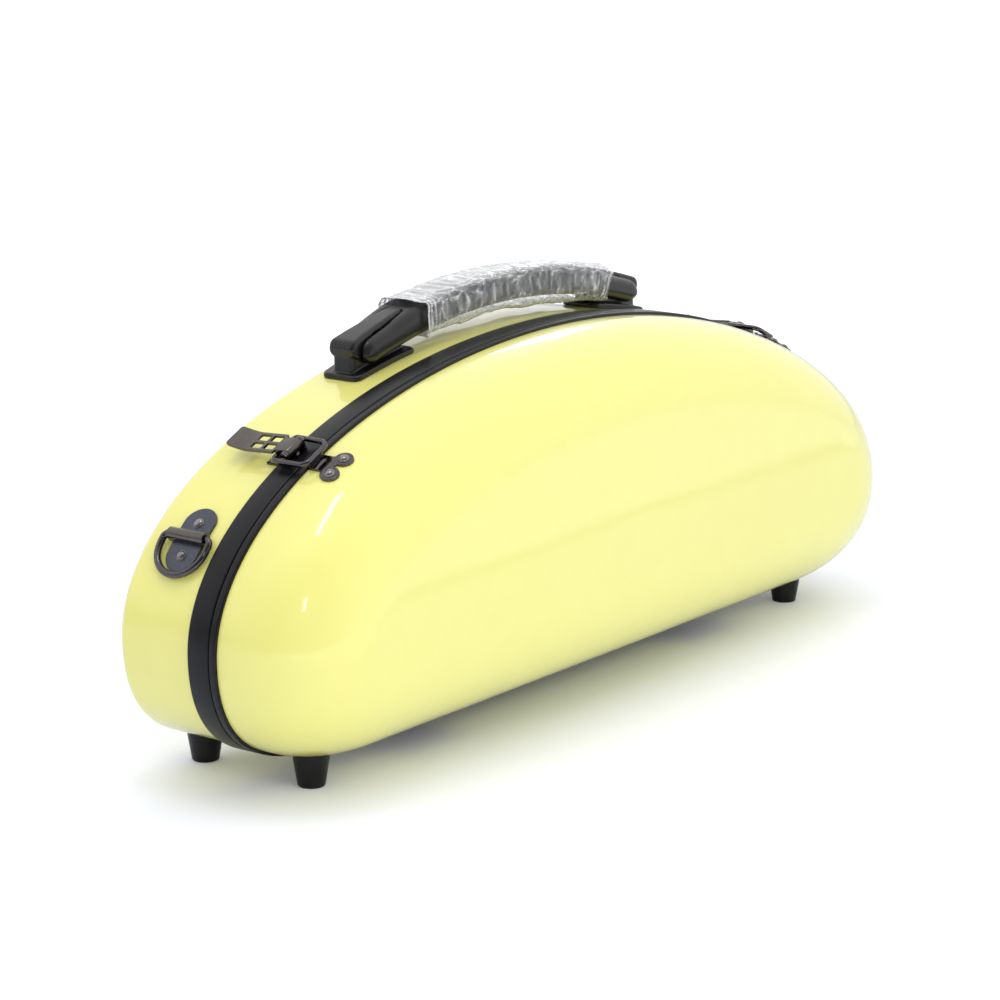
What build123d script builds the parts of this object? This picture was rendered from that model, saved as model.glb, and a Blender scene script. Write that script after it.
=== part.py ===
from build123d import *
import math
import os

# Hard half-moon clarinet case, standing on its four rubber feet.
# Millimetres. +Z is up, X runs along the case, the lid is on the -Y side.
# The origin is on the floor, under the middle of the case.

# Outline of the seam, seen from the front
half_length = 200.0
height = 133.0          # flat underside to the top of the arch
belly_height = 44.0     # height of the widest level above the flat underside
corner_length = 57.0    # how far each rounded lower corner reaches inwards
corner_fullness = 0.66  # 0.55 is an ellipse, 1 a square corner
foot_height = 10.0

# Depths of the two shells from the seam, and their wall
base_depth = 54.0
lid_depth = 45.0
edge_round = 26.0
shell_wall = 2.4
seam_gap = 0.3

# Shared clearances
pin_clearance = 0.05    # round a pin or screw in its hole
tail_clearance = 0.1    # between the wall and what is clenched or screwed inside it
past = 1.0              # how far a cutting shape runs past what it cuts
touch = 0.01            # tolerance for picking edges by their place

# Rubber band over the seam, in two strips
band_proud = 1.2
base_band_width = 9.6
lid_band_width = 3.0
band_end_gap = 0.3      # to the ends of the hinge pins

# Locating lip inside the seam
lip_clearance = 0.35
lip_thickness = 0.6
lip_in_base = 4.0
lip_in_lid = 3.0

# Feet
foot_from_end = 41.0
base_foot_from_back = 14.0
lid_foot_from_seam = 10.6
foot_top_radius = 6.6
foot_bottom_radius = 5.0
foot_recess_radius = 2.2
foot_recess_depth = 3.0
foot_screw_radius = 1.4
foot_screw_head = 2.0
foot_screw_head_height = 1.4
foot_screw_bite = 1.6
screw_slot_width = 0.7
screw_slot_depth = 0.6

# Hinges under the case
hinge_from_corner = 48.0
hinge_width = 36.0
hinge_knuckles = 5
knuckle_radius = 2.3
knuckle_gap = 0.2
knuckle_drop = 2.5      # hinge axis below the flat underside
hinge_pin_radius = 1.0
hinge_pin_head = 1.6
hinge_pin_head_length = 0.8
hinge_pin_play = 0.1
leaf_thickness = 1.2
leaf_width = 16.0
leaf_from_knuckle = 0.5
hinge_rivet_pitch = 24.0
hinge_rivet_from_seam = 9.5
hinge_rivet_head = 1.9

# Rivets
rivet_shank = 1.3
rivet_hole_clearance = 0.1
rivet_head = 2.1
rivet_head_height = 1.2
rivet_tail = 2.6
rivet_tail_height = 0.5

# Draw latches, one each side of the handle
latch_from_end = 54.0
latch_pivot_from_seam = 5.3
latch_pivot_height = 5.1
latch_pin_radius = 1.0
latch_pin_head = 1.5
latch_pin_head_length = 0.4
latch_pin_play = 0.1
lever_barrel_radius = 1.8
lever_barrel_half = 3.8
cheek_inner = 4.0
cheek_outer = 5.0
cheek_radius = 1.7
bracket_thickness = 0.7
bracket_over_band = 0.15
bracket_from_band = 0.1
bracket_ramp = 0.8
bracket_rivet_from_ramp = 1.8
bracket_rivet_inset = 2.2
bracket_rivet_offset = 2.9
bracket_rivet_head = 1.6
bracket_rivet_gap = 0.05
lever_thickness = 1.0
lever_half = 5.4
lever_length = 26.6
lever_bend = 18.0
lever_tip_rise = 2.1
lever_tip_bevel = 0.3
lever_neck = 4.8
lever_tilt = -4.0       # degrees, at rest
window_length = 4.9
window_width = 3.3
window_bar = 1.3
window_start = 5.7
loop_wire = 1.0         # radius
loop_half = 7.1
loop_corner = 3.0
loop_pivot_corner = 1.5
loop_arm = 4.2          # lever pin to loop pivot
loop_angle = -10.0      # degrees, of the loop pivot about the lever pin, at rest
latch_closing = 9.0     # degrees that the lever still drops to lock
loop_ratio = -1.5       # loop turn on the lever, per turn of the lever
bar_from_seam = 5.7     # loop bar on the lid side, when locked
bar_height = 2.4        # its height when locked
lug_wall = 0.6
lug_inner = 2.0
lug_outer = 3.4
lug_window = 3.6        # room for the lugs in the bracket, along the lever
lug_room = 0.3
loop_clearance = 0.08
hook_clearance = 0.25
hook_below_bar = 0.3
hook_round = 0.3
catch_thickness = 1.0
catch_from_band = 0.15
hook_half = 4.2
catch_rivet_from_seam = 13.2
catch_rivet_offset = 4.45
catch_ear_radius = 3.6
catch_rivet_gap = 0.1

# Strap rings on both ends
ring_from_end = 17.2
ring_from_band = 13.3
ring_plate_thickness = 1.1
ring_plate_radius = 6.9
ring_plate_gap = 0.05
ring_lobe_inset = 0.35
ring_rivet_pitch = 13.5
ring_wire = 1.35        # radius
ring_half = 10.65
ring_drop = 15.2
ring_corner = 2.4
ring_tilt = 7.0         # degrees below the plate's tangent, at rest
strap_length = 16.6
strap_thickness = 0.9
strap_clearance = 0.1

# Handle
handle_from_seam = 28.3
handle_nose_x = 94.0
handle_rise = 18.5      # its top above the top of the arch
handle_nose_rise = 14.1  # top of its nose, above the arch beneath it
grip_thickness = 11.5
grip_width = 20.0
grip_end_inset = 3.5
grip_round = 4.0
grip_end_round = 2.0
flange_length = 35.5
flange_width = 18.0
flange_thickness = 2.2
flange_round = 2.5
flange_gap = 0.05
neck_width = 10.0
neck_length = 30.2
neck_from_nose = 1.8
neck_round = 1.5
neck_into_tongue = 1.0
neck_clearance = 0.6
tongue_length = 33.0
tongue_width = 12.5
tongue_point_half = 0.8
tongue_thickness = 7.4
tongue_round = 2.4
tongue_clearance = 0.35
handle_pin_inset = 16.0
handle_pin_radius = 1.5
handle_pin_slot = 5.0
handle_pin_recess = 1.2
slot_clearance = 0.1
handle_screw_insets = (25.0, 10.0)
handle_screw_radius = 2.0
handle_screw_bite = 5.5
handle_screw_tip_room = 0.2
handle_screw_head = 3.4
handle_screw_head_height = 1.8
handle_screw_gap = 0.35
driver_radius = 1.4
driver_depth = 1.0
film_left = 56.0        # ends of the film sleeve, left and right of the middle
film_right = 67.0
film_gap = 0.15
film_thickness = 0.5

# Padded interior
insert_side_gap = 1.1
insert_back_gap = 0.3
insert_below_seam = 1.0
insert_screw_room = 0.6
insert_screw_depth = 3.4
lining_gap = 1.0
lining_thickness = 1.5
lining_from_seam = 4.0
pad_margin = 0.5        # inside the flat of the lid's back
pad_thickness = 6.0
pad_gap = 0.3
pad_round = 5.5

# Pockets, stacked upwards from the flat underside, and left of the bell
pocket_wall = 4.5
pocket_depth = 34.0
pocket_floor = 8.5      # lowest pocket above the flat underside
lower_joint_from_end = 28.0
lower_joint_radius = 17.0
upper_joint_from_end = 52.0
upper_joint_radius = 15.5
barrel_length = 64.0
barrel_radius = 16.5
mouthpiece_length = 91.0
mouthpiece_radius = 14.5
reed_length = 44.0
reed_width = 14.0
reed_depth = 24.0
reed_round = 3.0
bell_from_end = 18.0
bell_length = 102.0
bell_height = 54.0
bell_mouth_radius = 40.0
bell_end_radius = 18.0
bell_axis_from_seam = 6.0

# Worked out from the dimensions above
seam = -(base_depth - lid_depth) / 2
lid_face = seam - seam_gap
arch_rise = height - belly_height
arch_z = foot_height + belly_height
axis_z = foot_height - knuckle_drop
foot_x = half_length - foot_from_end
hinge_x = half_length - corner_length - hinge_from_corner
latch_x = half_length - latch_from_end
ring_x = half_length - ring_from_end
base_foot_from_seam = base_depth - base_foot_from_back
ring_from_seam = base_band_width + ring_from_band
bracket_step = base_band_width + bracket_from_band
bracket_rivet_y = bracket_step + 2 * bracket_ramp + bracket_rivet_from_ramp
handle_y = seam + handle_from_seam
handle_top = foot_height + height + handle_rise
nose_drop = (
    handle_top - handle_nose_rise - arch_z
    - arch_rise * math.sqrt(1 - (handle_nose_x / half_length) ** 2)
)
handle_arc = (handle_nose_x**2 + nose_drop**2) / (2 * nose_drop)
arc_z = handle_top - handle_arc
grip_end_x = handle_nose_x - grip_end_inset
handle_pin_x = handle_nose_x - handle_pin_inset
handle_pin_z = arc_z + math.sqrt(handle_arc**2 - handle_pin_x**2) - tongue_thickness / 2
neck_start = handle_nose_x - neck_from_nose - neck_length
neck_top_arc = handle_arc - tongue_thickness + neck_into_tongue
bell_mouth_x = half_length - bell_from_end - bell_length
loop_length = math.hypot(
    latch_pivot_from_seam
    + loop_arm * math.cos(math.radians(loop_angle - latch_closing))
    + bar_from_seam,
    latch_pivot_height
    + loop_arm * math.sin(math.radians(loop_angle - latch_closing))
    - bar_height,
)


def outline(grow=0.0):
    """The half-moon outline as a face, in x and height above the flat underside."""
    flat = half_length - corner_length
    reach = corner_length + grow
    low = belly_height + grow
    wide = half_length + grow
    pull_x = corner_fullness * reach
    pull_z = low - corner_fullness * low
    floor = -grow
    corner = [
        (flat, floor),
        (flat + pull_x, floor),
        (wide, floor + pull_z),
        (wide, belly_height),
    ]
    lines = [
        Line((-flat, floor), (flat, floor)),
        Bezier(*corner),
        EllipticalCenterArc((0, belly_height), wide, arch_rise + grow, 0, arc_size=180),
        Bezier(*[(-x, z) for x, z in reversed(corner)]),
    ]
    return make_face(Wire(lines))


def slab(grow, y_low, y_high):
    """The outline pulled from one y to another."""
    plane = Plane((0, y_high, foot_height), x_dir=(1, 0, 0), z_dir=(0, -1, 0))
    return extrude(plane.location * outline(grow), y_high - y_low)


def envelope(side, grow, start, depth):
    """A slab from the seam side to a depth, with its far edge rounded."""
    far = seam + side * depth
    near = seam + side * start
    blank = slab(grow, min(near, far), max(near, far))
    edges = blank.edges().filter_by_position(Axis.Y, far - touch, far + touch)
    return fillet(edges, edge_round + min(grow, 0))


def arch_frame(x, y):
    """The plane that touches the arch at x, with its x along the arch to the right."""
    rise = arch_rise * math.sqrt(1 - (x / half_length) ** 2)
    normal = Vector(x / half_length**2, 0, rise / arch_rise**2).normalized()
    along = Vector(normal.Z, 0, -normal.X)
    return Plane((x, y, arch_z + rise), x_dir=along, z_dir=normal)


def base_frame(x, y):
    """The plane that touches the top of the base, also where its far edge is rounded."""
    flat = arch_frame(x, y)
    into_round = max(0, y - seam - base_depth + edge_round)
    turn = math.asin(into_round / edge_round)
    drop = edge_round * (1 - math.cos(turn))
    return Plane(flat.location * Pos(0, 0, -drop) * Rot(-math.degrees(turn), 0, 0))


def shifted(frame_at, x, y, shift):
    """The plane that touches the arch a little further along it."""
    return frame_at(x + shift * frame_at(x, y).x_dir.X, y)


def ring_frame(side):
    """The plane at a strap ring, with its x up the arch."""
    plane = base_frame(side * ring_x, seam + ring_from_seam)
    return Plane(plane.origin, x_dir=plane.x_dir * -side, z_dir=plane.z_dir)


def disc(radius, low, high):
    """A short cylinder along the local z."""
    return Pos(0, 0, (low + high) / 2) * Cylinder(radius, high - low)


def block(x, y, z):
    """A box from its three ranges."""
    size = [high - low for low, high in (x, y, z)]
    centre = [(high + low) / 2 for low, high in (x, y, z)]
    return Pos(*centre) * Box(*size)


def rod(radius, low, high, y, z):
    """A cylinder along the local x."""
    return Pos((low + high) / 2, y, z) * Rot(0, 90, 0) * Cylinder(radius, high - low)


def cross_rod(radius, length, x, y, z):
    """A cylinder along the local y, centred on a point."""
    return Pos(x, y, z) * Rot(90, 0, 0) * Cylinder(radius, length)


def dome(radius, rise):
    """A low round head that stands on the local z = 0."""
    ball = (radius**2 + rise**2) / (2 * rise)
    cap = Pos(0, 0, rise - ball) * Sphere(ball)
    return cap & disc(2 * radius, 0, rise + past)


def rivet(head_at, head_radius=rivet_head):
    """A domed rivet along z, with its head on head_at and its tail inside the wall."""
    tail_at = -shell_wall - tail_clearance
    head = Pos(0, 0, head_at) * dome(head_radius, rivet_head_height)
    shank = disc(rivet_shank, tail_at, head_at)
    tail = disc(rivet_tail, tail_at - rivet_tail_height, tail_at)
    return head + shank + tail


def rivet_hole():
    return disc(rivet_shank + rivet_hole_clearance, -2 * shell_wall, 2 * shell_wall)


def screw_hole(radius, low, high):
    return disc(radius + pin_clearance, low, high)


def drill(solid, frames):
    for frame in frames:
        solid -= frame.location * rivet_hole()
    return solid


def rod_profile(face, low, high):
    """A face drawn in y and z, pulled along the local x."""
    plane = Plane((low, 0, 0), x_dir=(0, 1, 0), z_dir=(1, 0, 0))
    return extrude(plane.location * face, high - low)


def bent_wire(face, radius):
    """A round wire that follows the outline of a face."""
    path = face.wire()
    start = Plane(path @ 0, z_dir=path % 0)
    return sweep(start.location * Circle(radius), path=path)


# Where the rivets, screws and feet go

def bracket_rivet_frames(side):
    y = seam + bracket_rivet_y
    return [shifted(arch_frame, side * latch_x, y, s * bracket_rivet_offset) for s in (-1, 1)]


def catch_rivet_frames(side):
    y = seam - catch_rivet_from_seam
    return [shifted(arch_frame, side * latch_x, y, s * catch_rivet_offset) for s in (-1, 1)]


def ring_rivet_frames(side):
    y = seam + ring_from_seam
    return [shifted(base_frame, side * ring_x, y, s * ring_rivet_pitch / 2) for s in (-1, 1)]


def hinge_rivet_frames(side):
    """Rivets of one leaf of both hinges: side 1 is the base, -1 the lid."""
    y = seam + side * hinge_rivet_from_seam
    spots = [s * hinge_x + t * hinge_rivet_pitch / 2 for s in (-1, 1) for t in (-1, 1)]
    return [Plane((x, y, foot_height), x_dir=(1, 0, 0), z_dir=(0, 0, -1)) for x in spots]


def handle_screw_frames(side):
    return [base_frame(side * (handle_nose_x - inset), handle_y) for inset in handle_screw_insets]


def foot_spots(side):
    reach = base_foot_from_seam if side > 0 else -lid_foot_from_seam
    return [(s * foot_x, seam + reach) for s in (-1, 1)]


# Shells, band and lip

def shell(side, depth, start):
    outer = envelope(side, 0, start, depth)
    inner = envelope(side, -shell_wall, -past, depth - shell_wall)
    return outer - inner


def base_shell_part():
    solid = shell(1, base_depth, 0)
    for side in (-1, 1):
        solid = drill(solid, bracket_rivet_frames(side) + ring_rivet_frames(side))
        for frame in handle_screw_frames(side):
            solid -= frame.location * screw_hole(handle_screw_radius, -2 * shell_wall, shell_wall)
    return drill(solid, hinge_rivet_frames(1))


def lid_shell_part():
    solid = shell(-1, lid_depth, seam_gap)
    for side in (-1, 1):
        solid = drill(solid, catch_rivet_frames(side))
    return drill(solid, hinge_rivet_frames(-1))


def band(y_low, y_high):
    """One strip of the seam band, left out where the hinges are."""
    ring = slab(band_proud, y_low, y_high) - slab(0, y_low - past, y_high + past)
    half = hinge_width / 2 + hinge_pin_play + hinge_pin_head_length + band_end_gap
    for x in (-hinge_x, hinge_x):
        ring -= block((x - half, x + half), (y_low - past, y_high + past), (0, foot_height))
    return ring


def seam_lip_part():
    grow = -shell_wall - lip_clearance
    low = seam - lip_in_lid
    high = seam + lip_in_base
    return slab(grow, low, high) - slab(grow - lip_thickness, low - past, high + past)


# Feet, each cut to the underside of the shell above it

def foot_bite(solid, x, y):
    """The height at which a foot's screw ends, inside the wall above it."""
    probe = Pos(x, y, 0) * disc(foot_screw_radius / 4, 0, foot_height + edge_round)
    return (solid & probe).bounding_box().min.Z + foot_screw_bite


def foot(solid, x, y):
    top = foot_height + edge_round / 2
    cone = Cone(foot_bottom_radius, foot_top_radius, foot_height)
    body = Pos(0, 0, foot_height / 2) * cone + disc(foot_top_radius, foot_height, top)
    body -= disc(foot_recess_radius, -past, foot_recess_depth)
    body -= screw_hole(foot_screw_radius, 0, top)
    return (Pos(x, y, 0) * body - solid).solids().sort_by(Axis.Z)[0]


def foot_screw(top, x, y):
    head_bottom = foot_recess_depth - foot_screw_head_height
    head = disc(foot_screw_head, head_bottom, foot_recess_depth)
    half = screw_slot_width / 2
    across = foot_screw_head + past
    slot = block((-across, across), (-half, half), (0, head_bottom + screw_slot_depth))
    return Pos(x, y, 0) * (head - slot + disc(foot_screw_radius, foot_recess_depth, top))


def feet_parts(side, shell_part, start, depth):
    """Feet, their screws, and the shell with the screw holes."""
    filled = envelope(side, 0, start, depth)
    feet = []
    screws = []
    for x, y in foot_spots(side):
        top = foot_bite(filled, x, y)
        feet.append(foot(filled, x, y))
        screws.append(foot_screw(top, x, y))
        shell_part -= Pos(x, y, 0) * screw_hole(foot_screw_radius, 0, top + tail_clearance)
    return feet, screws, shell_part


# Hinges

def hinge_leaf(side, x):
    """One leaf: side 1 has the odd knuckles on the base, -1 the even ones on the lid."""
    pitch = hinge_width / hinge_knuckles
    left = x - hinge_width / 2
    right = x + hinge_width / 2
    inner = knuckle_radius + leaf_from_knuckle
    ends = sorted((seam + side * inner, seam + side * leaf_width))
    leaf = block((left, right), ends, (foot_height - leaf_thickness, foot_height))
    top = axis_z + knuckle_radius
    for index in range(hinge_knuckles):
        if (index % 2 == 0) != (side > 0):
            continue
        low = left + index * pitch + knuckle_gap / 2
        high = left + (index + 1) * pitch - knuckle_gap / 2
        reach = sorted((seam, seam + side * (inner + hinge_pin_play)))
        leaf += block((low, high), reach, (top - leaf_thickness, top))
        leaf += rod(knuckle_radius, low, high, seam, axis_z)
    leaf -= rod(hinge_pin_radius + pin_clearance, left - past, right + past, seam, axis_z)
    return drill(leaf, hinge_rivet_frames(side))


def hinge_pin(x):
    half = hinge_width / 2 + hinge_pin_play
    pin = rod(hinge_pin_radius, x - half, x + half, seam, axis_z)
    for low in (x - half - hinge_pin_head_length, x + half):
        pin += rod(hinge_pin_head, low, low + hinge_pin_head_length, seam, axis_z)
    return pin


# Draw latch, drawn flat at the seam: x along the arch, y towards the base, z outwards

def polar(length, degrees):
    angle = math.radians(degrees)
    return length * math.cos(angle), length * math.sin(angle)


def loop_pivot(lever_turn):
    """Where the loop turns on the lever, with the lever turned from rest."""
    y, z = polar(loop_arm, loop_angle + lever_turn)
    return latch_pivot_from_seam + y, latch_pivot_height + z


def loop_bearing(lever_turn):
    """Direction from the loop pivot to its bar, in degrees, at a turn from rest."""
    y, z = loop_pivot(-latch_closing)
    locked = math.degrees(math.atan2(bar_height - z, -bar_from_seam - y))
    return locked + (1 + loop_ratio) * (lever_turn + latch_closing)


def bar_place(lever_turn):
    y, z = loop_pivot(lever_turn)
    dy, dz = polar(loop_length, loop_bearing(lever_turn))
    return y + dy, z + dz


def latch_bracket():
    """Bracket on the base, with two cheeks that carry the lever's pin."""
    pivot = latch_pivot_from_seam
    under = band_proud + bracket_over_band
    over = under + bracket_thickness
    front = pivot - cheek_radius - bracket_over_band
    step = bracket_step
    back = bracket_rivet_y + bracket_rivet_inset
    side_view = Polyline(
        (front, under), (front, over), (step + bracket_ramp, over),
        (step + 2 * bracket_ramp, bracket_thickness), (back, bracket_thickness),
        (back, 0), (step, 0), (step, under), close=True,
    )
    bracket = rod_profile(make_face(side_view), -cheek_outer, cheek_outer)
    room = lug_outer + lug_room
    middle = pivot + loop_arm
    window = (middle - lug_window / 2, middle + lug_window / 2)
    bracket -= block((-room, room), window, (-past, over + past))
    for low, high in ((-cheek_outer, -cheek_inner), (cheek_inner, cheek_outer)):
        span = (pivot - cheek_radius, pivot + cheek_radius)
        bracket += block((low, high), span, (under, latch_pivot_height))
        bracket += rod(cheek_radius, low, high, pivot, latch_pivot_height)
    bore = rod(
        latch_pin_radius + pin_clearance, -2 * cheek_outer, 2 * cheek_outer, pivot, latch_pivot_height
    )
    return bracket - bore


def latch_pin():
    y, z = latch_pivot_from_seam, latch_pivot_height
    half = cheek_outer + latch_pin_play
    pin = rod(latch_pin_radius, -half, half, y, z)
    for low in (-half - latch_pin_head_length, half):
        pin += rod(latch_pin_head, low, low + latch_pin_head_length, y, z)
    return pin


def lever_plate():
    """The lever's plate about its pin, with its four windows and a raised tip."""
    top = lever_barrel_radius
    under = top - lever_thickness
    tip = lever_length - lever_tip_bevel
    side_view = Polyline(
        (0, under), (lever_bend, under), (lever_length, under + lever_tip_rise),
        (tip, top + lever_tip_rise), (lever_bend, top), (0, top), close=True,
    )
    plate = rod_profile(make_face(side_view), -lever_half, lever_half)
    for side in (-1, 1):
        corner = sorted((side * lever_barrel_half, side * (lever_half + past)))
        plate -= block(corner, (-past, lever_neck), (-past, top + past))
    half = window_width / 2
    for row in (0, 1):
        start = window_start + row * (window_length + window_bar)
        for x in (-half - window_bar / 2, half + window_bar / 2):
            plate -= block((x - half, x + half), (start, start + window_length), (0, top + past))
    return plate


def latch_lever():
    """Plate, barrel and lugs drawn about the pin, then tilted to the rest angle."""
    lever = lever_plate()
    lever += rod(lever_barrel_radius, -lever_barrel_half, lever_barrel_half, 0, 0)
    lug_y, lug_z = polar(loop_arm, loop_angle - lever_tilt)
    lug_radius = loop_wire + loop_clearance + lug_wall
    for side in (-1, 1):
        low, high = sorted((side * lug_inner, side * lug_outer))
        lever += rod(lug_radius, low, high, lug_y, lug_z)
        stem = (lug_z, lever_barrel_radius - lever_thickness)
        lever += block((low, high), (lug_y - lug_radius, lug_y + lug_radius), stem)
    lever -= rod(latch_pin_radius + pin_clearance, -lever_half, lever_half, 0, 0)
    lever -= rod(loop_wire + loop_clearance, -lever_half, lever_half, lug_y, lug_z)
    return Pos(0, latch_pivot_from_seam, latch_pivot_height) * Rot(lever_tilt, 0, 0) * lever


def loop_outline():
    """The loop's centre line: its pivot along x, and arms that reach to the bar."""
    face = Pos(0, -loop_length / 2) * Rectangle(2 * loop_half, loop_length)
    bar = face.vertices().group_by(Axis.Y)[0]
    face = fillet(bar, loop_corner)
    pivot = face.vertices().group_by(Axis.Y)[-1]
    return fillet(pivot, loop_pivot_corner)


def latch_loop():
    """Loop drawn about its pivot, then turned to its rest bearing."""
    ring = bent_wire(loop_outline(), loop_wire)
    y, z = loop_pivot(0)
    return Pos(0, y, z) * Rot(loop_bearing(0) - 180, 0, 0) * ring


def latch_catch():
    """Catch plate on the lid: a hook in front, and an ear for each rivet."""
    bar_y, bar_z = bar_place(0)
    face_y = bar_y + loop_wire + hook_clearance
    hook_top = bar_z - loop_wire - hook_below_bar
    front = -lid_band_width - seam_gap - catch_from_band
    length = catch_rivet_from_seam + front
    plan = Pos(0, front - length / 2) * Rectangle(2 * hook_half, length)
    for side in (-1, 1):
        plan += Pos(side * catch_rivet_offset, -catch_rivet_from_seam) * Circle(catch_ear_radius)
    plate = extrude(plan, catch_thickness)
    hook = block((-hook_half, hook_half), (face_y, front), (0, hook_top))
    return plate + fillet(hook.edges().filter_by(Axis.Z), hook_round)


# Strap ring, drawn flat: x up the arch, y across it, z outwards

def ring_plate(side):
    """Two-lobed plate that follows the curve of the end."""
    outer = envelope(1, ring_plate_thickness, 0, base_depth)
    bend = outer - envelope(1, ring_plate_gap, -past, base_depth + ring_plate_gap)
    lobe = ring_rivet_pitch / 2 - ring_lobe_inset
    plan = make_hull(
        (Pos(lobe, 0) * Circle(ring_plate_radius)).edges()
        + (Pos(-lobe, 0) * Circle(ring_plate_radius)).edges()
    )
    reach = 2 * shell_wall
    blank = Pos(0, 0, -reach) * extrude(plan, 2 * reach)
    plate = (ring_frame(side).location * blank) & bend
    return drill(plate, ring_rivet_frames(side))


def ring_axis_height():
    return ring_plate_thickness + ring_wire + strap_clearance


def ring_strap():
    """Folded strap that holds the ring's bar down on the plate."""
    rise = ring_axis_height()
    bore = ring_wire + strap_clearance
    outer = bore + strap_thickness
    legs = (rise + ring_plate_thickness) / 2
    profile = Pos(0, rise) * Circle(outer)
    profile += Pos(0, legs) * Rectangle(2 * outer, rise - ring_plate_thickness)
    profile -= Pos(0, rise) * Circle(bore)
    profile -= Pos(0, rise / 2) * Rectangle(2 * bore, rise)
    profile -= Pos(0, ring_plate_thickness / 2) * Rectangle(4 * outer, ring_plate_thickness)
    plane = Plane((0, strap_length / 2, 0), x_dir=(1, 0, 0), z_dir=(0, -1, 0))
    return extrude(plane.location * profile, strap_length)


def ring_outline():
    """The ring's centre line: a bar along y, and a half circle below it."""
    arms = ring_drop - ring_half
    face = Pos(-arms / 2, 0) * Rectangle(arms, 2 * ring_half)
    face += Pos(-arms, 0) * Circle(ring_half)
    face -= Pos(ring_half, 0) * Rectangle(2 * ring_half, 4 * ring_half)
    corners = face.vertices().group_by(Axis.X)[-1]
    return fillet(corners, ring_corner)


def strap_ring():
    """D-shaped ring drawn about its bar, then dropped to its rest tilt."""
    ring = bent_wire(ring_outline(), ring_wire)
    return Pos(0, 0, ring_axis_height()) * Rot(0, -ring_tilt, 0) * ring


# Handle, drawn for the right end and mirrored to the left

def handle_span(half_width):
    return handle_y - half_width, handle_y + half_width


def handle_column(x_low, x_high, half_width):
    """A block from inside the case to above the handle."""
    return block((x_low, x_high), handle_span(half_width), (arch_z, handle_top + past))


def arc_slice(low, high, half_width, x_low, x_high):
    """The part of a ring about the handle's arc between two x, low and high being radii."""
    ring = cross_rod(high, 2 * half_width, 0, handle_y, arc_z)
    ring -= cross_rod(low, 2 * half_width + past, 0, handle_y, arc_z)
    return ring & handle_column(x_low, x_high, half_width)


def tongue(grow):
    """The arm that the grip's fork straddles, tapering to a point towards the middle."""
    half = tongue_width / 2 + grow
    point = handle_nose_x - tongue_length - grow
    point_half = tongue_point_half + grow
    nose = handle_nose_x + grow
    plan = make_face(Polyline(
        (point, -point_half), (nose, -half), (nose, half), (point, point_half), close=True,
    ))
    wedge = Pos(0, handle_y, arch_z) * extrude(plan, handle_top - arch_z + past)
    low = handle_arc - tongue_thickness - grow
    return arc_slice(low, handle_arc + grow, grip_width, 0, nose) & wedge


def pin_slot():
    half = handle_pin_slot / 2
    rise = handle_pin_radius + slot_clearance
    span = handle_span(grip_width)
    x_range = (handle_pin_x - half, handle_pin_x + half)
    slot = block(x_range, span, (handle_pin_z - rise, handle_pin_z + rise))
    return fillet(slot.edges().filter_by(Axis.Y), handle_pin_radius)


def handle_bracket(over_flange, under_flange):
    """Flange on the shell, neck, and tongue, as one casting."""
    nose = handle_nose_x
    plate = handle_column(nose - flange_length, nose, flange_width / 2)
    flange = fillet(plate.edges().filter_by(Axis.Z), flange_round) & over_flange
    neck = handle_column(neck_start, neck_start + neck_length, neck_width / 2)
    neck = fillet(neck.edges().filter_by(Axis.Z), neck_round)
    neck &= arc_slice(neck_top_arc - height / 2, neck_top_arc, grip_width, 0, nose)
    arm = tongue(0)
    nose_edges = arm.edges().filter_by_position(Axis.X, nose - tongue_round / 2, nose + touch)
    body = flange + neck + fillet(nose_edges, tongue_round)
    body -= under_flange
    body -= pin_slot()
    for frame in handle_screw_frames(1):
        tip = handle_screw_bite + handle_screw_tip_room
        body -= frame.location * screw_hole(handle_screw_radius, -2 * shell_wall, tip)
    return body


def grip_bar(grow, x_low, x_high, rounding):
    """The plain bent bar that the grip and its film are made from."""
    low = handle_arc - grip_thickness - grow
    bar = arc_slice(low, handle_arc + grow, grip_width / 2 + grow, x_low, x_high)
    long_edges = [edge for edge in bar.edges() if edge.length > 0.8 * (x_high - x_low)]
    return fillet(long_edges, rounding)


def neck_room():
    """What the underside of the grip and its film leave free for the neck."""
    low = handle_arc - 2 * grip_thickness
    high = neck_top_arc + neck_clearance
    half = neck_width / 2 + neck_clearance
    return arc_slice(low, high, half, neck_start - neck_clearance, handle_nose_x + past)


def grip_room():
    """What the fork of the grip leaves free: the tongue, the neck and the pin."""
    bore = handle_pin_radius + pin_clearance
    pin = cross_rod(bore, grip_width + past, handle_pin_x, handle_y, handle_pin_z)
    return tongue(tongue_clearance) + neck_room() + pin


def handle_grip_part():
    bar = grip_bar(0, -grip_end_x, grip_end_x, grip_round)
    for end in bar.faces().filter_by(Axis.X):
        lowest = bar.edges().filter_by(Axis.Y).sort_by_distance(end.center())[:2].sort_by(Axis.Z)[0]
        bar = fillet(lowest, grip_end_round)
    room = grip_room()
    return bar - room - mirror(room, about=Plane.YZ)


def handle_pin(side):
    length = grip_width - 2 * handle_pin_recess
    return cross_rod(handle_pin_radius, length, side * handle_pin_x, handle_y, handle_pin_z)


def handle_screw():
    tail = -shell_wall - handle_screw_gap
    low = tail - handle_screw_head_height
    head = disc(handle_screw_head, low, tail) - disc(driver_radius, low - past, low + driver_depth)
    return head + disc(handle_screw_radius, tail, handle_screw_bite)


def grip_film_part():
    outer_grow = film_gap + film_thickness
    outer = grip_bar(outer_grow, -film_left, film_right, grip_round + outer_grow)
    inner = grip_bar(film_gap, -film_left - past, film_right + past, grip_round + film_gap)
    return outer - inner - neck_room()


# Padded interior

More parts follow.
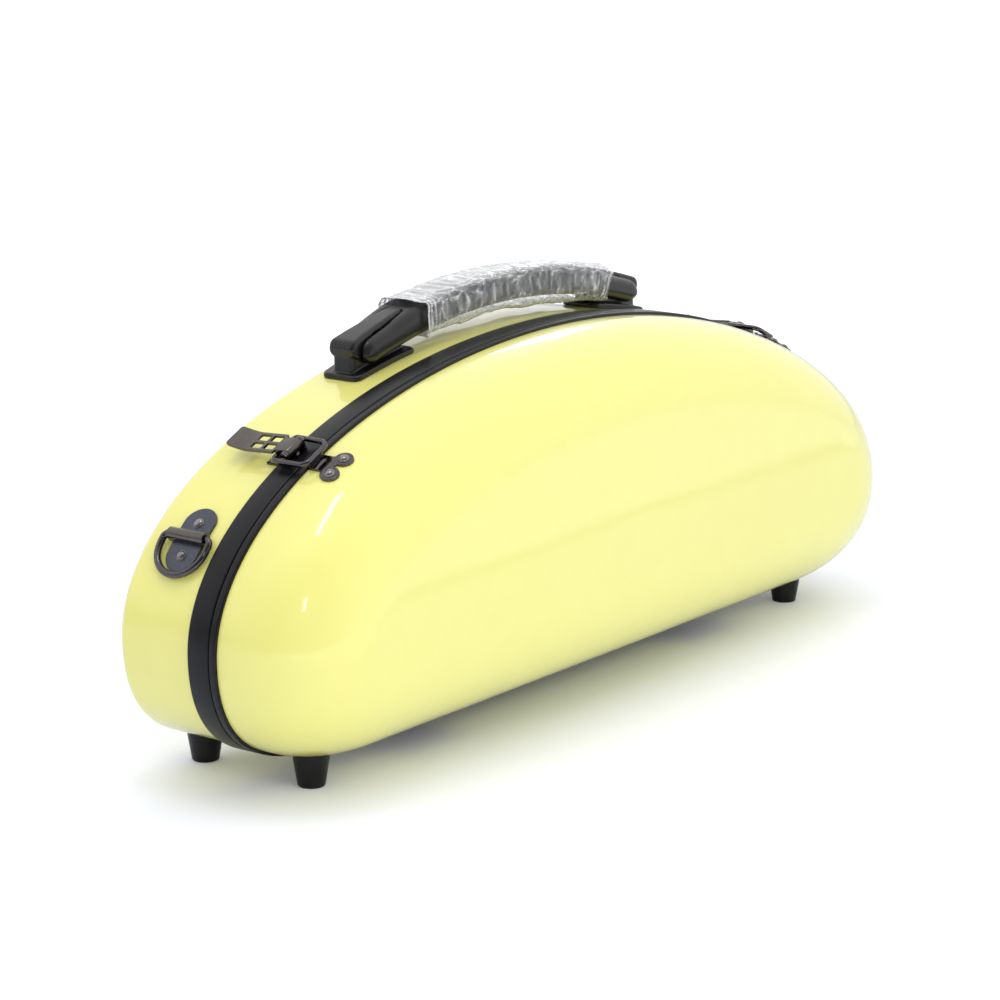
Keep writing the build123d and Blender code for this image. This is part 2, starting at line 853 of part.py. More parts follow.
def channel(x_low, x_high, centre, radius):
    """A U-shaped pocket for one round section of the instrument."""
    z = foot_height + centre
    bottom = seam + insert_below_seam + pocket_depth - radius
    trough = block((x_low, x_high), (seam - past, bottom), (z - radius, z + radius))
    return trough + rod(radius, x_low, x_high, bottom, z)


def bell_pocket():
    """A cone for the bell, open towards the lid."""
    z = foot_height + bell_height
    y = seam + bell_axis_from_seam
    end_x = bell_mouth_x + bell_length
    place = Pos(bell_mouth_x + bell_length / 2, y, z) * Rot(0, 90, 0)
    hollow = place * Cone(bell_mouth_radius, bell_end_radius, bell_length)
    plan = Polyline(
        (bell_mouth_x, z - bell_mouth_radius), (end_x, z - bell_end_radius),
        (end_x, z + bell_end_radius), (bell_mouth_x, z + bell_mouth_radius), close=True,
    )
    plane = Plane((0, y, 0), x_dir=(1, 0, 0), z_dir=(0, -1, 0))
    return hollow + extrude(plane.location * make_face(plan), bell_axis_from_seam + past)


def pockets():
    right = bell_mouth_x - pocket_wall
    centre = pocket_floor + lower_joint_radius
    found = [channel(lower_joint_from_end - half_length, right, centre, lower_joint_radius)]
    centre += lower_joint_radius + pocket_wall + upper_joint_radius
    found.append(channel(upper_joint_from_end - half_length, right, centre, upper_joint_radius))
    top_row = centre + upper_joint_radius + pocket_wall
    left = right - barrel_length
    found.append(channel(left, right, top_row + barrel_radius, barrel_radius))
    right = left - pocket_wall
    left = right - mouthpiece_length
    found.append(channel(left, right, top_row + mouthpiece_radius, mouthpiece_radius))
    right = left - pocket_wall
    depth = seam + insert_below_seam + reed_depth
    low = foot_height + top_row
    reed = block((right - reed_length, right), (seam - past, depth), (low, low + reed_width))
    found.append(fillet(reed.edges().filter_by(Axis.Y), reed_round))
    return found


def base_insert_part():
    grow = -shell_wall - insert_side_gap
    body = envelope(1, grow, insert_below_seam, base_depth - shell_wall - insert_back_gap)
    for pocket in pockets():
        body -= pocket
    body -= bell_pocket()
    room = disc(handle_screw_head + insert_screw_room, -shell_wall - insert_screw_depth, 0)
    for side in (-1, 1):
        for frame in handle_screw_frames(side):
            body -= frame.location * room
    return body


def lid_lining_part():
    grow = -shell_wall - lining_gap
    outer = envelope(-1, grow, lining_from_seam, lid_depth + grow)
    inner = envelope(-1, grow - lining_thickness, 0, lid_depth + grow - lining_thickness)
    return outer - inner


def lid_pad_part():
    back = seam - lid_depth + shell_wall + lining_gap + lining_thickness + pad_gap
    front = back + pad_thickness
    pad = slab(-edge_round - pad_margin, back, front)
    return fillet(pad.edges().filter_by_position(Axis.Y, front - touch, front + touch), pad_round)


# Build everything

def save(name, *solids):
    group = solids[0] if len(solids) == 1 else Compound(children=list(solids))
    export_step(group, f"parts/{name}.step")


def build_shells():
    base_feet, base_screws, base_shell = feet_parts(1, base_shell_part(), 0, base_depth)
    lid_feet, lid_screws, lid_shell = feet_parts(-1, lid_shell_part(), seam_gap, lid_depth)
    save("base_shell", base_shell)
    save("lid_shell", lid_shell)
    save("base_feet", *base_feet)
    save("lid_feet", *lid_feet)
    save("base_foot_screws", *base_screws)
    save("lid_foot_screws", *lid_screws)
    save("base_band", band(seam, seam + base_band_width))
    save("lid_band", band(lid_face - lid_band_width, lid_face))
    save("seam_lip", seam_lip_part())


def build_hinges():
    for name, x in (("left", -hinge_x), ("right", hinge_x)):
        save(f"hinge_leaf_base_{name}", hinge_leaf(1, x))
        save(f"hinge_leaf_lid_{name}", hinge_leaf(-1, x))
    save("hinge_pins", hinge_pin(-hinge_x), hinge_pin(hinge_x))
    for name, side in (("base", 1), ("lid", -1)):
        frames = hinge_rivet_frames(side)
        save(f"hinge_rivets_{name}", *[f.location * rivet(leaf_thickness, hinge_rivet_head) for f in frames])


def build_latches():
    bracket_rivets = []
    catch_rivets = []
    for name, side in (("left", -1), ("right", 1)):
        place = arch_frame(side * latch_x, seam).location
        bracket_frames = bracket_rivet_frames(side)
        catch_frames = catch_rivet_frames(side)
        save(f"latch_bracket_{name}", drill(place * latch_bracket(), bracket_frames))
        save(f"latch_pin_{name}", place * latch_pin())
        save(f"latch_lever_{name}", place * latch_lever())
        save(f"latch_loop_{name}", place * latch_loop())
        save(f"latch_catch_{name}", drill(place * latch_catch(), catch_frames))
        head = rivet(bracket_thickness + bracket_rivet_gap, bracket_rivet_head)
        bracket_rivets += [frame.location * head for frame in bracket_frames]
        head = rivet(catch_thickness + catch_rivet_gap)
        catch_rivets += [frame.location * head for frame in catch_frames]
    save("latch_bracket_rivets", *bracket_rivets)
    save("latch_catch_rivets", *catch_rivets)


def build_rings():
    rivets = []
    for name, side in (("left", -1), ("right", 1)):
        place = ring_frame(side).location
        save(f"ring_plate_{name}", ring_plate(side))
        save(f"ring_strap_{name}", place * ring_strap())
        save(f"strap_ring_{name}", place * strap_ring())
        rivets += [f.location * rivet(ring_plate_thickness) for f in ring_rivet_frames(side)]
    save("ring_rivets", *rivets)


def build_handle():
    over_flange = envelope(1, flange_thickness, 0, base_depth + flange_thickness)
    under_flange = envelope(1, flange_gap, -past, base_depth + flange_gap)
    bracket = handle_bracket(over_flange, under_flange)
    save("handle_bracket_right", bracket)
    save("handle_bracket_left", mirror(bracket, about=Plane.YZ))
    frames = handle_screw_frames(-1) + handle_screw_frames(1)
    save("handle_screws", *[frame.location * handle_screw() for frame in frames])
    save("handle_grip", handle_grip_part())
    save("handle_pins", handle_pin(-1), handle_pin(1))
    save("grip_film", grip_film_part())


def build_interior():
    save("base_insert", base_insert_part())
    save("lid_lining", lid_lining_part())
    save("lid_pad", lid_pad_part())


os.makedirs("parts", exist_ok=True)
build_shells()
build_hinges()
build_latches()
build_rings()
build_handle()
build_interior()
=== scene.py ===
# %% [markdown]
# # A hard clarinet case, finished in Blender
#
# The case is a half moon of glossy yellow plastic in two shells, which meet in a black rubber band.
# It stands on four rubber feet, and is carried by a black handle that is still in its packing film.
# Two draw latches hold it shut, and a ring on each end takes a shoulder strap.
#
# Each step below says what a piece is on the real case, how it could be made, and why it is made
# this way. The engineering model is already there as a fixed frame: every piece made here lies
# where its part of that frame lies, and rides on the same body when the case opens.

import math
from contextlib import contextmanager

import bmesh
import bpy
import numpy as np
from mathutils import Matrix, Vector, noise
from mathutils.bvhtree import BVHTree


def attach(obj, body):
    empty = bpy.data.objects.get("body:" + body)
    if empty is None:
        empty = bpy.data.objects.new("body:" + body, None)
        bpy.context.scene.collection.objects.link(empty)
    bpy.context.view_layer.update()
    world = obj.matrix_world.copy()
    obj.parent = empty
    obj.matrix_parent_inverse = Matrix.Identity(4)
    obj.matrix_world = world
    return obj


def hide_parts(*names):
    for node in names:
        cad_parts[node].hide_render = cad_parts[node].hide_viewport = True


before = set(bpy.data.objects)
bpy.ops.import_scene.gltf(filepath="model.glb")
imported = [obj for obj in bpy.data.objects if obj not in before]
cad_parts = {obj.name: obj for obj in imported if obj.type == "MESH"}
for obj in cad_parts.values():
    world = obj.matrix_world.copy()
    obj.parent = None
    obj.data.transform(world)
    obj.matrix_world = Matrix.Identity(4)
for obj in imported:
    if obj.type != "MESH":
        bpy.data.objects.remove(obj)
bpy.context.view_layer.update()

# %% [markdown]
# ## Sizes
#
# The frame is in metres, but a maker of cases thinks in millimetres. So every size here is in
# millimetres, and is multiplied by MM where it goes into a mesh. X runs along the case, Z is up,
# and the lid is on the -Y side of the seam.

# %% Sizes of the case
MM = 0.001
same_point = 0.001 * MM
half_length = 200.0
height = 133.0
belly_height = 44.0
corner_length = 57.0
corner_fullness = 0.66
foot_height = 10.0
base_depth = 54.0
lid_depth = 45.0
shell_wall = 2.4
seam_gap = 0.3
seam = -(base_depth - lid_depth) / 2
arch_rise = height - belly_height
arch_z = foot_height + belly_height
print("case is", 2 * half_length, "mm long, seam at y =", seam)

# %% [markdown]
# ## Helpers
#
# A few small functions are used all the way down. The first turns a colour as a painter reads it
# off a chart, in sRGB, into the linear numbers that light is worked out with. The second adds one
# node to a shader or to a geometry tree and fills its inputs, with values or with links, where a
# node stands for its first output. Others edit a mesh, join rings of points into a skin, and turn
# an object with live modifiers into a plain mesh.

# %% Colour, node and mesh helpers
def linear(hex_colour):
    """An sRGB hex colour as the linear colour that shaders work in."""
    channels = [int(hex_colour[i:i + 2], 16) / 255 for i in (1, 3, 5)]
    return [c / 12.92 if c <= 0.04045 else ((c + 0.055) / 1.055) ** 2.4 for c in channels] + [1.0]


def add_node(tree, kind, inputs=None, **settings):
    """Adds a node, sets its settings, and fills its inputs with values or links."""
    node = tree.nodes.new(kind)
    for name, value in settings.items():
        setattr(node, name, value)
    for name, value in (inputs or {}).items():
        if isinstance(value, bpy.types.Node):
            value = value.outputs[0]
        if isinstance(value, bpy.types.NodeSocket):
            tree.links.new(value, node.inputs[name])
        else:
            node.inputs[name].default_value = value
    return node


def new_object(name, data):
    """A new object in the scene."""
    obj = bpy.data.objects.new(name, data)
    bpy.context.scene.collection.objects.link(obj)
    return obj


@contextmanager
def editing(mesh):
    """The mesh as a shape that can be edited, written back at the end."""
    shape = bmesh.new()
    shape.from_mesh(mesh)
    yield shape
    shape.to_mesh(mesh)
    shape.free()


def bridge(shape, rings):
    """Faces from each ring of vertices to the next; a ring of one vertex is a pole."""
    steps = max(len(ring) for ring in rings)
    for lower, upper in zip(rings, rings[1:]):
        for i in range(steps):
            corners = [lower[i % len(lower)], lower[(i + 1) % len(lower)],
                       upper[(i + 1) % len(upper)], upper[i % len(upper)]]
            shape.faces.new(list(dict.fromkeys(corners)))


def frozen(obj, crease=40):
    """The object as a plain mesh: modifiers applied, faces outward, edges over crease degrees sharp."""
    name = obj.name
    depsgraph = bpy.context.evaluated_depsgraph_get()
    mesh = bpy.data.meshes.new_from_object(obj.evaluated_get(depsgraph))
    bpy.data.objects.remove(obj)
    mesh.name = name
    with editing(mesh) as shape:
        if shape.calc_volume(signed=True) < 0:
            bmesh.ops.reverse_faces(shape, faces=shape.faces)
    mesh.polygons.foreach_set("use_smooth", [True] * len(mesh.polygons))
    mesh.set_sharp_from_angle(angle=math.radians(crease))
    return new_object(name, mesh)


def wear(obj, material, body, slot, *nodes):
    """Gives a finished piece its material and its body, and hides the nodes it stands for; slot is not used.
    """
    obj.data.materials.clear()
    obj.data.materials.append(material)
    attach(obj, body)
    if nodes:
        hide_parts(*nodes)
    print(obj.name, "has", len(obj.data.polygons), "faces")
    return obj


print("white is", linear("#ffffff"))

# %% [markdown]
# ## Camera
#
# The photograph was taken from the left, a little above the case, with a long lens: the lines of
# the case hardly draw together. The place of the camera was worked out from the feet and the ends
# of the handle, whose real places are known.

# %% Camera
camera_place = Vector((-1.01086, -0.7368, 0.3685))
camera_target = Vector((-0.02789, -0.0012, 0.07805))
camera = new_object("camera", bpy.data.cameras.new("camera"))
camera.data.sensor_width = 36
camera.data.lens = 117.62
line_of_sight = camera_target - camera_place
camera.location = camera_place
camera.rotation_mode = "QUATERNION"
camera.rotation_quaternion = line_of_sight.to_track_quat("-Z", "Y")
bpy.context.scene.camera = camera
print("camera is", round(line_of_sight.length, 3), "m from the case")

# %% [markdown]
# ## Floor, backdrop and light
#
# The case stands on white paper in a bright studio. The backdrop is the world: what the camera,
# a reflection or a look through film sees of it is plain white, while it lights the case at a
# softer level. Behind the camera, and low down to its left, the room is darker. Only gloss shows
# that: it puts a dark core between bright rims on the plated wires, and shades the near end of the
# case.

# %% Backdrop
bpy.context.scene.view_settings.view_transform = "Standard"
world = bpy.data.worlds.new("white_studio")
bpy.context.scene.world = world
world.use_nodes = True
studio = world.node_tree
studio.nodes.clear()
ray = add_node(studio, "ShaderNodeLightPath")
seen = ray.outputs["Is Camera Ray"]
for other in ("Is Glossy Ray", "Is Transmission Ray"):
    seen = add_node(studio, "ShaderNodeMath", {0: seen, 1: ray.outputs[other]}, operation="MAXIMUM")
sky = add_node(studio, "ShaderNodeTexCoord")
way = add_node(studio, "ShaderNodeSeparateXYZ", {0: sky.outputs["Generated"]})
to_left = add_node(studio, "ShaderNodeMapRange", {
    "Value": way.outputs["X"], "From Min": -0.35, "From Max": -0.65, "To Min": 0.0, "To Max": 1.0})
down_low = add_node(studio, "ShaderNodeMapRange", {
    "Value": way.outputs["Z"], "From Min": 0.3, "From Max": 0.12, "To Min": 0.0, "To Max": 0.6})
to_camera = add_node(studio, "ShaderNodeVectorMath", {
    0: sky.outputs["Generated"], 1: -line_of_sight.normalized()}, operation="DOT_PRODUCT")
dark_room = add_node(studio, "ShaderNodeMapRange", {
    "Value": to_camera.outputs["Value"], "From Min": 0.35, "From Max": 0.8, "To Min": 0.0, "To Max": 0.85})
shade = to_left
for operation, other in (
        ("MULTIPLY", down_low), ("MAXIMUM", dark_room), ("MULTIPLY", ray.outputs["Is Glossy Ray"])):
    shade = add_node(studio, "ShaderNodeMath", {0: shade, 1: other}, operation=operation)
bright = add_node(studio, "ShaderNodeMath", {0: 1.0, 1: shade}, operation="SUBTRACT")
soft_light, white = [
    add_node(studio, "ShaderNodeBackground", {"Color": linear("#ffffff"), "Strength": strength})
    for strength in (0.6, bright)]
either = add_node(studio, "ShaderNodeMixShader", {0: seen, 1: soft_light, 2: white})
add_node(studio, "ShaderNodeOutputWorld", {"Surface": either})
print("world has", len(studio.nodes), "nodes")

# %% [markdown]
# The paper is lifted for the camera alone: not at all under the case, where the shadow is, a
# little beside it, and more further away, where it joins the backdrop. In front of the case, for
# glossy rays alone, the floor glows brighter and a grey line is painted across it. That is a
# painted reflection: the gloss of the lid mirrors a pale far floor and a dark horizon line.

# %% Floor of white paper
def shader_for(name, **values):
    """A new material and its Principled shader, with the values that are the same all over."""
    material = bpy.data.materials.new(name)
    material.use_nodes = True
    shader = material.node_tree.nodes["Principled BSDF"]
    for socket, value in values.items():
        shader.inputs[socket.replace("_", " ")].default_value = value
    return material, material.node_tree, shader


# Where the painted reflection's dark line lies on the floor, and how wide it is.
painted_horizon_y = -0.229
painted_horizon_width = 0.018
shadow_reach = 0.03
near_reach = 0.09
length_for_depth = 0.35
floor_half = 8.0
paper, tree, shader = shader_for("matt_white_paper", Roughness=0.9)
shader.inputs["Specular IOR Level"].default_value = 0.1
ray = add_node(tree, "ShaderNodeLightPath")
place = add_node(tree, "ShaderNodeTexCoord")
squeezed = add_node(tree, "ShaderNodeVectorMath", {
    0: place.outputs["Object"], 1: (length_for_depth, 1.0, 1.0)}, operation="MULTIPLY")
from_case = add_node(tree, "ShaderNodeVectorMath", {0: squeezed}, operation="LENGTH")
near_lift = add_node(tree, "ShaderNodeMapRange", {
    "Value": from_case.outputs["Value"], "From Min": shadow_reach, "From Max": near_reach,
    "To Min": 0.0, "To Max": 0.22})
far_lift = add_node(tree, "ShaderNodeMapRange", {
    "Value": from_case.outputs["Value"], "From Min": 0.2, "From Max": 1.0, "To Min": 0.0, "To Max": 0.5})
lift = add_node(tree, "ShaderNodeMath", {0: near_lift, 1: far_lift})
lift = add_node(tree, "ShaderNodeMath", {0: ray.outputs["Is Camera Ray"], 1: lift}, operation="MULTIPLY")
along = add_node(tree, "ShaderNodeSeparateXYZ", {0: place.outputs["Object"]})
# For glossy rays alone, the floor in front of the line glows brighter: a painted reflection of a pale far
# floor.
glossy_glow_beyond = add_node(tree, "ShaderNodeMapRange", {
    "Value": along.outputs["Y"], "From Min": painted_horizon_y, "From Max": painted_horizon_y - 0.012})
for factor in (ray.outputs["Is Glossy Ray"], 0.25):
    glossy_glow_beyond = add_node(tree, "ShaderNodeMath", {0: glossy_glow_beyond, 1: factor}, operation="MULTIPLY")
lift = add_node(tree, "ShaderNodeMath", {0: lift, 1: glossy_glow_beyond})
# For glossy rays alone, the base colour turns grey along the line: a painted reflection of a dark horizon.
from_painted_horizon = add_node(tree, "ShaderNodeMath", {0: along.outputs["Y"], 1: painted_horizon_y}, operation="SUBTRACT")
from_painted_horizon = add_node(tree, "ShaderNodeMath", {0: from_painted_horizon}, operation="ABSOLUTE")
painted_horizon_line = add_node(tree, "ShaderNodeMapRange", {
    "Value": from_painted_horizon, "From Min": painted_horizon_width, "From Max": 0.0, "To Min": 0.0, "To Max": 0.5})
painted_horizon_line = add_node(tree, "ShaderNodeMath", {
    0: painted_horizon_line, 1: ray.outputs["Is Glossy Ray"]}, operation="MULTIPLY")
paper_with_painted_horizon = add_node(tree, "ShaderNodeMix", {
    0: painted_horizon_line, 6: linear("#f0f3ff"), 7: linear("#606060")}, data_type="RGBA")
tree.links.new(paper_with_painted_horizon.outputs[2], shader.inputs["Base Color"])
shader.inputs["Emission Color"].default_value = linear("#ffffff")
tree.links.new(lift.outputs[0], shader.inputs["Emission Strength"])
floor_mesh = bpy.data.meshes.new("floor")
floor_mesh.from_pydata(
    [(x * floor_half, y * floor_half, 0) for x, y in ((-1, -1), (1, -1), (1, 1), (-1, 1))],
    [], [(0, 1, 2, 3)])
floor_mesh.materials.append(paper)
floor = new_object("floor", floor_mesh)
print("floor is", 2 * floor_half, "m wide")

# %% [markdown]
# Two wide soft boxes do most of the lighting, one overhead and one in front. The lacquer mirrors
# the backdrop but not them, as with boxes behind a large diffuser. Three small ones are brighter,
# and are there for their reflections alone: a tube in the ceiling, a lamp over the camera, and a
# window far behind the right end, which leaves a pale streak on the lid just below the band. Where
# each hangs was found by following the camera's line of sight to the highlight, and on from there
# as a mirror sends it.

# %% Soft boxes
def soft_box(name, place, target, size, radiance):
    """An area lamp that faces a target; the camera doesn't see the lamp itself."""
    lamp = bpy.data.lights.new(name, "AREA")
    lamp.shape = "RECTANGLE"
    lamp.size, lamp.size_y = size
    lamp.energy = radiance * math.pi * size[0] * size[1]
    box = new_object(name, lamp)
    box.location = Vector(place)
    box.rotation_mode = "QUATERNION"
    box.rotation_quaternion = (Vector(target) - Vector(place)).to_track_quat("-Z", "Y")
    box.visible_camera = False
    return box


for wide_box in (
        soft_box("overhead_box", (0.2, 0.3, 1.7), (0, 0, 0.05), (2.4, 2.1), 0.9),
        soft_box("front_box", (-0.45, -1.6, 0.62), (0, 0, 0.06), (2.0, 1.15), 1.32)):
    wide_box.visible_glossy = False
soft_box("camera_lamp", (-1.08, -0.8, 1.0), (-0.19, -0.03, 0.08), (0.1, 0.24), 10)
soft_box("far_window", (1.9, 1.3, 1.08), (-0.01, -0.01, 0.14), (0.32, 0.36), 8)
tube = soft_box("ceiling_tube", (-0.24, 0.08, 1.6), (-0.24, 0.08, 0), (0.1, 0.5), 10)
tube.rotation_quaternion = Matrix.Rotation(math.radians(-58), 3, "Z").to_quaternion()
print("lamps", len(bpy.data.lights))

# %% [markdown]
# ## The half-moon outline
#
# Both shells, the band, the lip and the lining follow one outline: a flat underside, two full
# lower corners, and an elliptical arch. Each of those is a simple curve, and each moves outwards
# evenly when the outline grows. So it is enough to store, for every point, where it lies and how
# it moves as the outline grows by one millimetre.

# %% Outline
underside_steps = 48
corner_steps = 40
arch_steps = 160


def corner_curve(grow, side, steps):
    """A lower corner, from the underside up to the widest level, as a cubic curve."""
    reach = corner_length + grow
    low = belly_height + grow
    wide = half_length + grow
    flat = half_length - corner_length
    pull = corner_fullness
    points = [
        (flat, -grow), (flat + pull * reach, -grow), (wide, (1 - pull) * low - grow), (wide, belly_height)]
    for step in range(steps):
        t = step / steps
        weights = [(1 - t) ** 3, 3 * t * (1 - t) ** 2, 3 * t**2 * (1 - t), t**3]
        x = sum(w * p[0] for w, p in zip(weights, points))
        z = sum(w * p[1] for w, p in zip(weights, points))
        yield side * x, z


def outline(grow=0.0):
    """The outline's points as an array of x and z, anticlockwise as seen from the lid."""
    flat = half_length - corner_length
    underside = [(-flat + 2 * flat * i / underside_steps, -grow) for i in range(underside_steps)]
    right = list(corner_curve(grow, 1, corner_steps))
    long, tall = half_length + grow, arch_rise + grow
    turns = [math.pi * i / arch_steps for i in range(arch_steps + 1)]
    arch = [(long * math.cos(a), belly_height + tall * math.sin(a)) for a in turns]
    left = list(corner_curve(grow, -1, corner_steps))[:0:-1]
    points = np.array(underside + right + arch + left)
    return points + (0, foot_height)


def arch_level(x):
    """How high the arch is over x."""
    return arch_z + arch_rise * math.sqrt(1 - (x / half_length) ** 2)


def arch_normal(x):
    """Which way is outward on the arch over x."""
    return Vector((x / half_length**2, 0, (arch_level(x) - arch_z) / arch_rise**2)).normalized()


def arch_frame(x, y, along=0.0):
    """Where the arch passes over x and y: its local x along the arch, y to the base, z outwards."""
    x += along * arch_normal(x).z
    out = arch_normal(x)
    return Matrix(((out.z, 0, out.x, x), (0, 1, 0, y), (-out.x, 0, out.z, arch_level(x)), (0, 0, 0, 1)))


points = outline()
print("outline has", len(points), "points and is", points[:, 1].max() - points[:, 1].min(), "mm high")

# %% [markdown]
# ## Materials
#
# A finish is what the real thing is made of and how its surface was made. Each material below is
# named for that. Values that are the same all over are set on the shader itself. What varies, such
# as the faint ripple of a lacquered shell or the grain of a moulded plastic, is drawn by a few
# nodes, and its scale comes from a real size in millimetres.

# %% Pattern scale
def per_metre(size_mm):
    """The scale of a noise whose patches are about that many millimetres wide."""
    return 1 / (size_mm * MM)


def grain(tree, shader, size_mm, height_mm, roughness, detail=2.0):
    """Bump and roughness from one noise in the piece's own place."""
    place = add_node(tree, "ShaderNodeTexCoord")
    pattern = add_node(tree, "ShaderNodeTexNoise", {
        "Vector": place.outputs["Object"], "Scale": per_metre(size_mm), "Detail": detail})
    bump = add_node(tree, "ShaderNodeBump", {
        "Height": pattern.outputs["Fac"], "Distance": height_mm * MM, "Strength": 1.0})
    tree.links.new(bump.outputs[0], shader.inputs["Normal"])
    low, high = roughness
    rough = add_node(tree, "ShaderNodeMapRange", {
        "Value": pattern.outputs["Fac"], "From Min": 0.3, "From Max": 0.7, "To Min": low, "To Max": high})
    tree.links.new(rough.outputs[0], shader.inputs["Roughness"])
    return pattern


def tint(tree, shader, pattern, first, second):
    """Colour that drifts between two close tones with the pattern."""
    ramp = add_node(tree, "ShaderNodeValToRGB", {"Fac": pattern.outputs["Fac"]})
    for element, place, colour in zip(ramp.color_ramp.elements, (0.3, 0.7), (first, second)):
        element.position = place
        element.color = linear(colour)
    tree.links.new(ramp.outputs[0], shader.inputs["Base Color"])


print("a 2 mm grain has scale", per_metre(2))

# %% [markdown]
# The shells are moulded plastic under a clear gloss lacquer. The lacquer gives a sharp, faint
# reflection on top of the soft colour, and it flows a little before it sets, which leaves a
# ripple about 9 mm wide and a few thousandths of a millimetre high.

# %% Yellow lacquered shell
lacquered_abs, tree, shader = shader_for(
    "lacquered_yellow_abs", Roughness=0.32, Coat_Weight=1.0, Coat_Roughness=0.035)
shader.inputs["Specular IOR Level"].default_value = 0.35
pattern = grain(tree, shader, 9, 0.012, (0.30, 0.36), detail=1.0)
tint(tree, shader, pattern, "#f9f58c", "#faf68e")

# %% [markdown]
# The band and the feet are moulded rubber: nearly black, with a broad soft sheen and a fine matt
# grain from the mould. The handle is a harder satin plastic from a spark-eroded mould.

# %% Rubber and satin plastic
moulded_rubber, tree, shader = shader_for("moulded_black_rubber")
shader.inputs["Specular IOR Level"].default_value = 0.3
pattern = grain(tree, shader, 0.8, 0.02, (0.28, 0.36))
tint(tree, shader, pattern, "#0f0f13", "#141418")

satin_abs, tree, shader = shader_for("satin_black_abs")
pattern = grain(tree, shader, 0.6, 0.018, (0.27, 0.34))
tint(tree, shader, pattern, "#121113", "#161517")

# %% [markdown]
# The latches and rings are steel with a black-nickel plating: a dark mirror with a warm cast. The
# latch lever and the plates under the rings were brushed before they were plated, so they are
# lighter and softer. Rivets and pins have plain bright nickel.

# %% Plated metals
def plated(name, first, second, roughness, size_mm=1.5, height_mm=0.004):
    """Plated steel: the plating's colour drifts a little, and it is never quite smooth."""
    material, tree, shader = shader_for(name, Metallic=1.0)
    pattern = grain(tree, shader, size_mm, height_mm, roughness)
    tint(tree, shader, pattern, first, second)
    return material


black_nickel = plated("black_nickel_plated_steel", "#5a5659", "#666265", (0.07, 0.13))
brushed_nickel = plated("brushed_black_nickel", "#67625f", "#6d6865", (0.22, 0.27))
slate_plate = plated("satin_black_nickel_plate", "#565863", "#60626d", (0.32, 0.40))
bright_nickel = plated("bright_nickel_plated_steel", "#8a8583", "#9a9593", (0.12, 0.18))
satin_aluminium = plated("satin_rolled_aluminium", "#bcbdc0", "#c8c9cb", (0.30, 0.38))

# %% [markdown]
# Inside, the foam is covered with a short-pile plush. Its fibres stand up, so it is darkest where
# you look straight into it and shines softly at a slant: that is the sheen.

# %% Plush
plush, tree, shader = shader_for("short_pile_plush", Sheen_Weight=0.6, Sheen_Roughness=0.5)
shader.inputs["Sheen Tint"].default_value = linear("#8c8a94")
pattern = grain(tree, shader, 1.1, 0.25, (0.85, 0.95), detail=4.0)
tint(tree, shader, pattern, "#26252a", "#34333a")
print("materials", len(bpy.data.materials))

# %% [markdown]
# ## Shells
#
# Each shell is one crowned half of the case, moulded 2.4 mm thick. Its shape follows a rule: go
# round the outline, and at each point draw the same cross-section, which runs straight back from
# the seam and then curves over towards the middle. A solid could be carved from a block and
# hollowed, but the curve would have to be drawn twice. Here a Geometry Nodes tree sweeps one
# section round the outline, so both shells, and later the linings, come from the same tree.

# %% Geometry tree that sweeps a section round the outline
def new_tree(name, **inputs):
    """A geometry tree with named inputs, and its two end nodes."""
    tree = bpy.data.node_groups.new(name, "GeometryNodeTree")
    tree.interface.new_socket("Geometry", in_out="INPUT", socket_type="NodeSocketGeometry")
    for label, kind in inputs.items():
        tree.interface.new_socket(label.replace("_", " "), in_out="INPUT", socket_type="NodeSocket" + kind)
    tree.interface.new_socket("Geometry", in_out="OUTPUT", socket_type="NodeSocketGeometry")
    return tree, add_node(tree, "NodeGroupInput").outputs


def end_tree(tree, geometry, material):
    """The last nodes of every tree: real geometry instead of instances, and its material."""
    real = add_node(tree, "GeometryNodeRealizeInstances", {"Geometry": geometry})
    dressed = add_node(tree, "GeometryNodeSetMaterial", {"Geometry": real, "Material": material})
    add_node(tree, "NodeGroupOutput", {"Geometry": dressed})


def grown(name, mesh, tree, crease=40, **values):
    """Runs a tree on a mesh with its inputs set, and returns the plain result."""
    obj = new_object(name, mesh)
    modifier = obj.modifiers.new("tree", "NODES")
    modifier.node_group = tree
    for item in tree.interface.items_tree:
        key = item.name.replace(" ", "_")
        if item.in_out == "INPUT" and key in values:
            modifier[item.identifier] = values[key]
    return frozen(obj, crease)


sweep_tree, given = new_tree("section_round_outline", Section="Object", Centre="Vector", Material="Material")
section = add_node(sweep_tree, "GeometryNodeObjectInfo", {"Object": given["Section"]})
round_count, section_count = [
    add_node(sweep_tree, "GeometryNodeAttributeDomainSize", {"Geometry": source}).outputs["Point Count"]
    for source in (given["Geometry"], section.outputs["Geometry"])]
columns = add_node(sweep_tree, "ShaderNodeMath", {0: round_count, 1: 1.0})
grid = add_node(sweep_tree, "GeometryNodeMeshGrid", {"Vertices X": columns, "Vertices Y": section_count})
index = add_node(sweep_tree, "GeometryNodeInputIndex")
row = add_node(sweep_tree, "ShaderNodeMath", {0: index, 1: section_count}, operation="MODULO")
column = add_node(sweep_tree, "ShaderNodeMath", {0: index, 1: section_count}, operation="DIVIDE")
column = add_node(sweep_tree, "ShaderNodeMath", {0: column}, operation="FLOOR")
column = add_node(sweep_tree, "ShaderNodeMath", {0: column, 1: round_count}, operation="MODULO")
position = add_node(sweep_tree, "GeometryNodeInputPosition")
outward = add_node(
    sweep_tree, "GeometryNodeInputNamedAttribute", {"Name": "outward"}, data_type="FLOAT_VECTOR")
on_outline, grows_to, on_section = [
    add_node(sweep_tree, "GeometryNodeSampleIndex", {
        "Geometry": source, "Value": value, "Index": at}, data_type="FLOAT_VECTOR")
    for source, value, at in (
        (given["Geometry"], position, column), (given["Geometry"], outward, column),
        (section.outputs["Geometry"], position, row))]
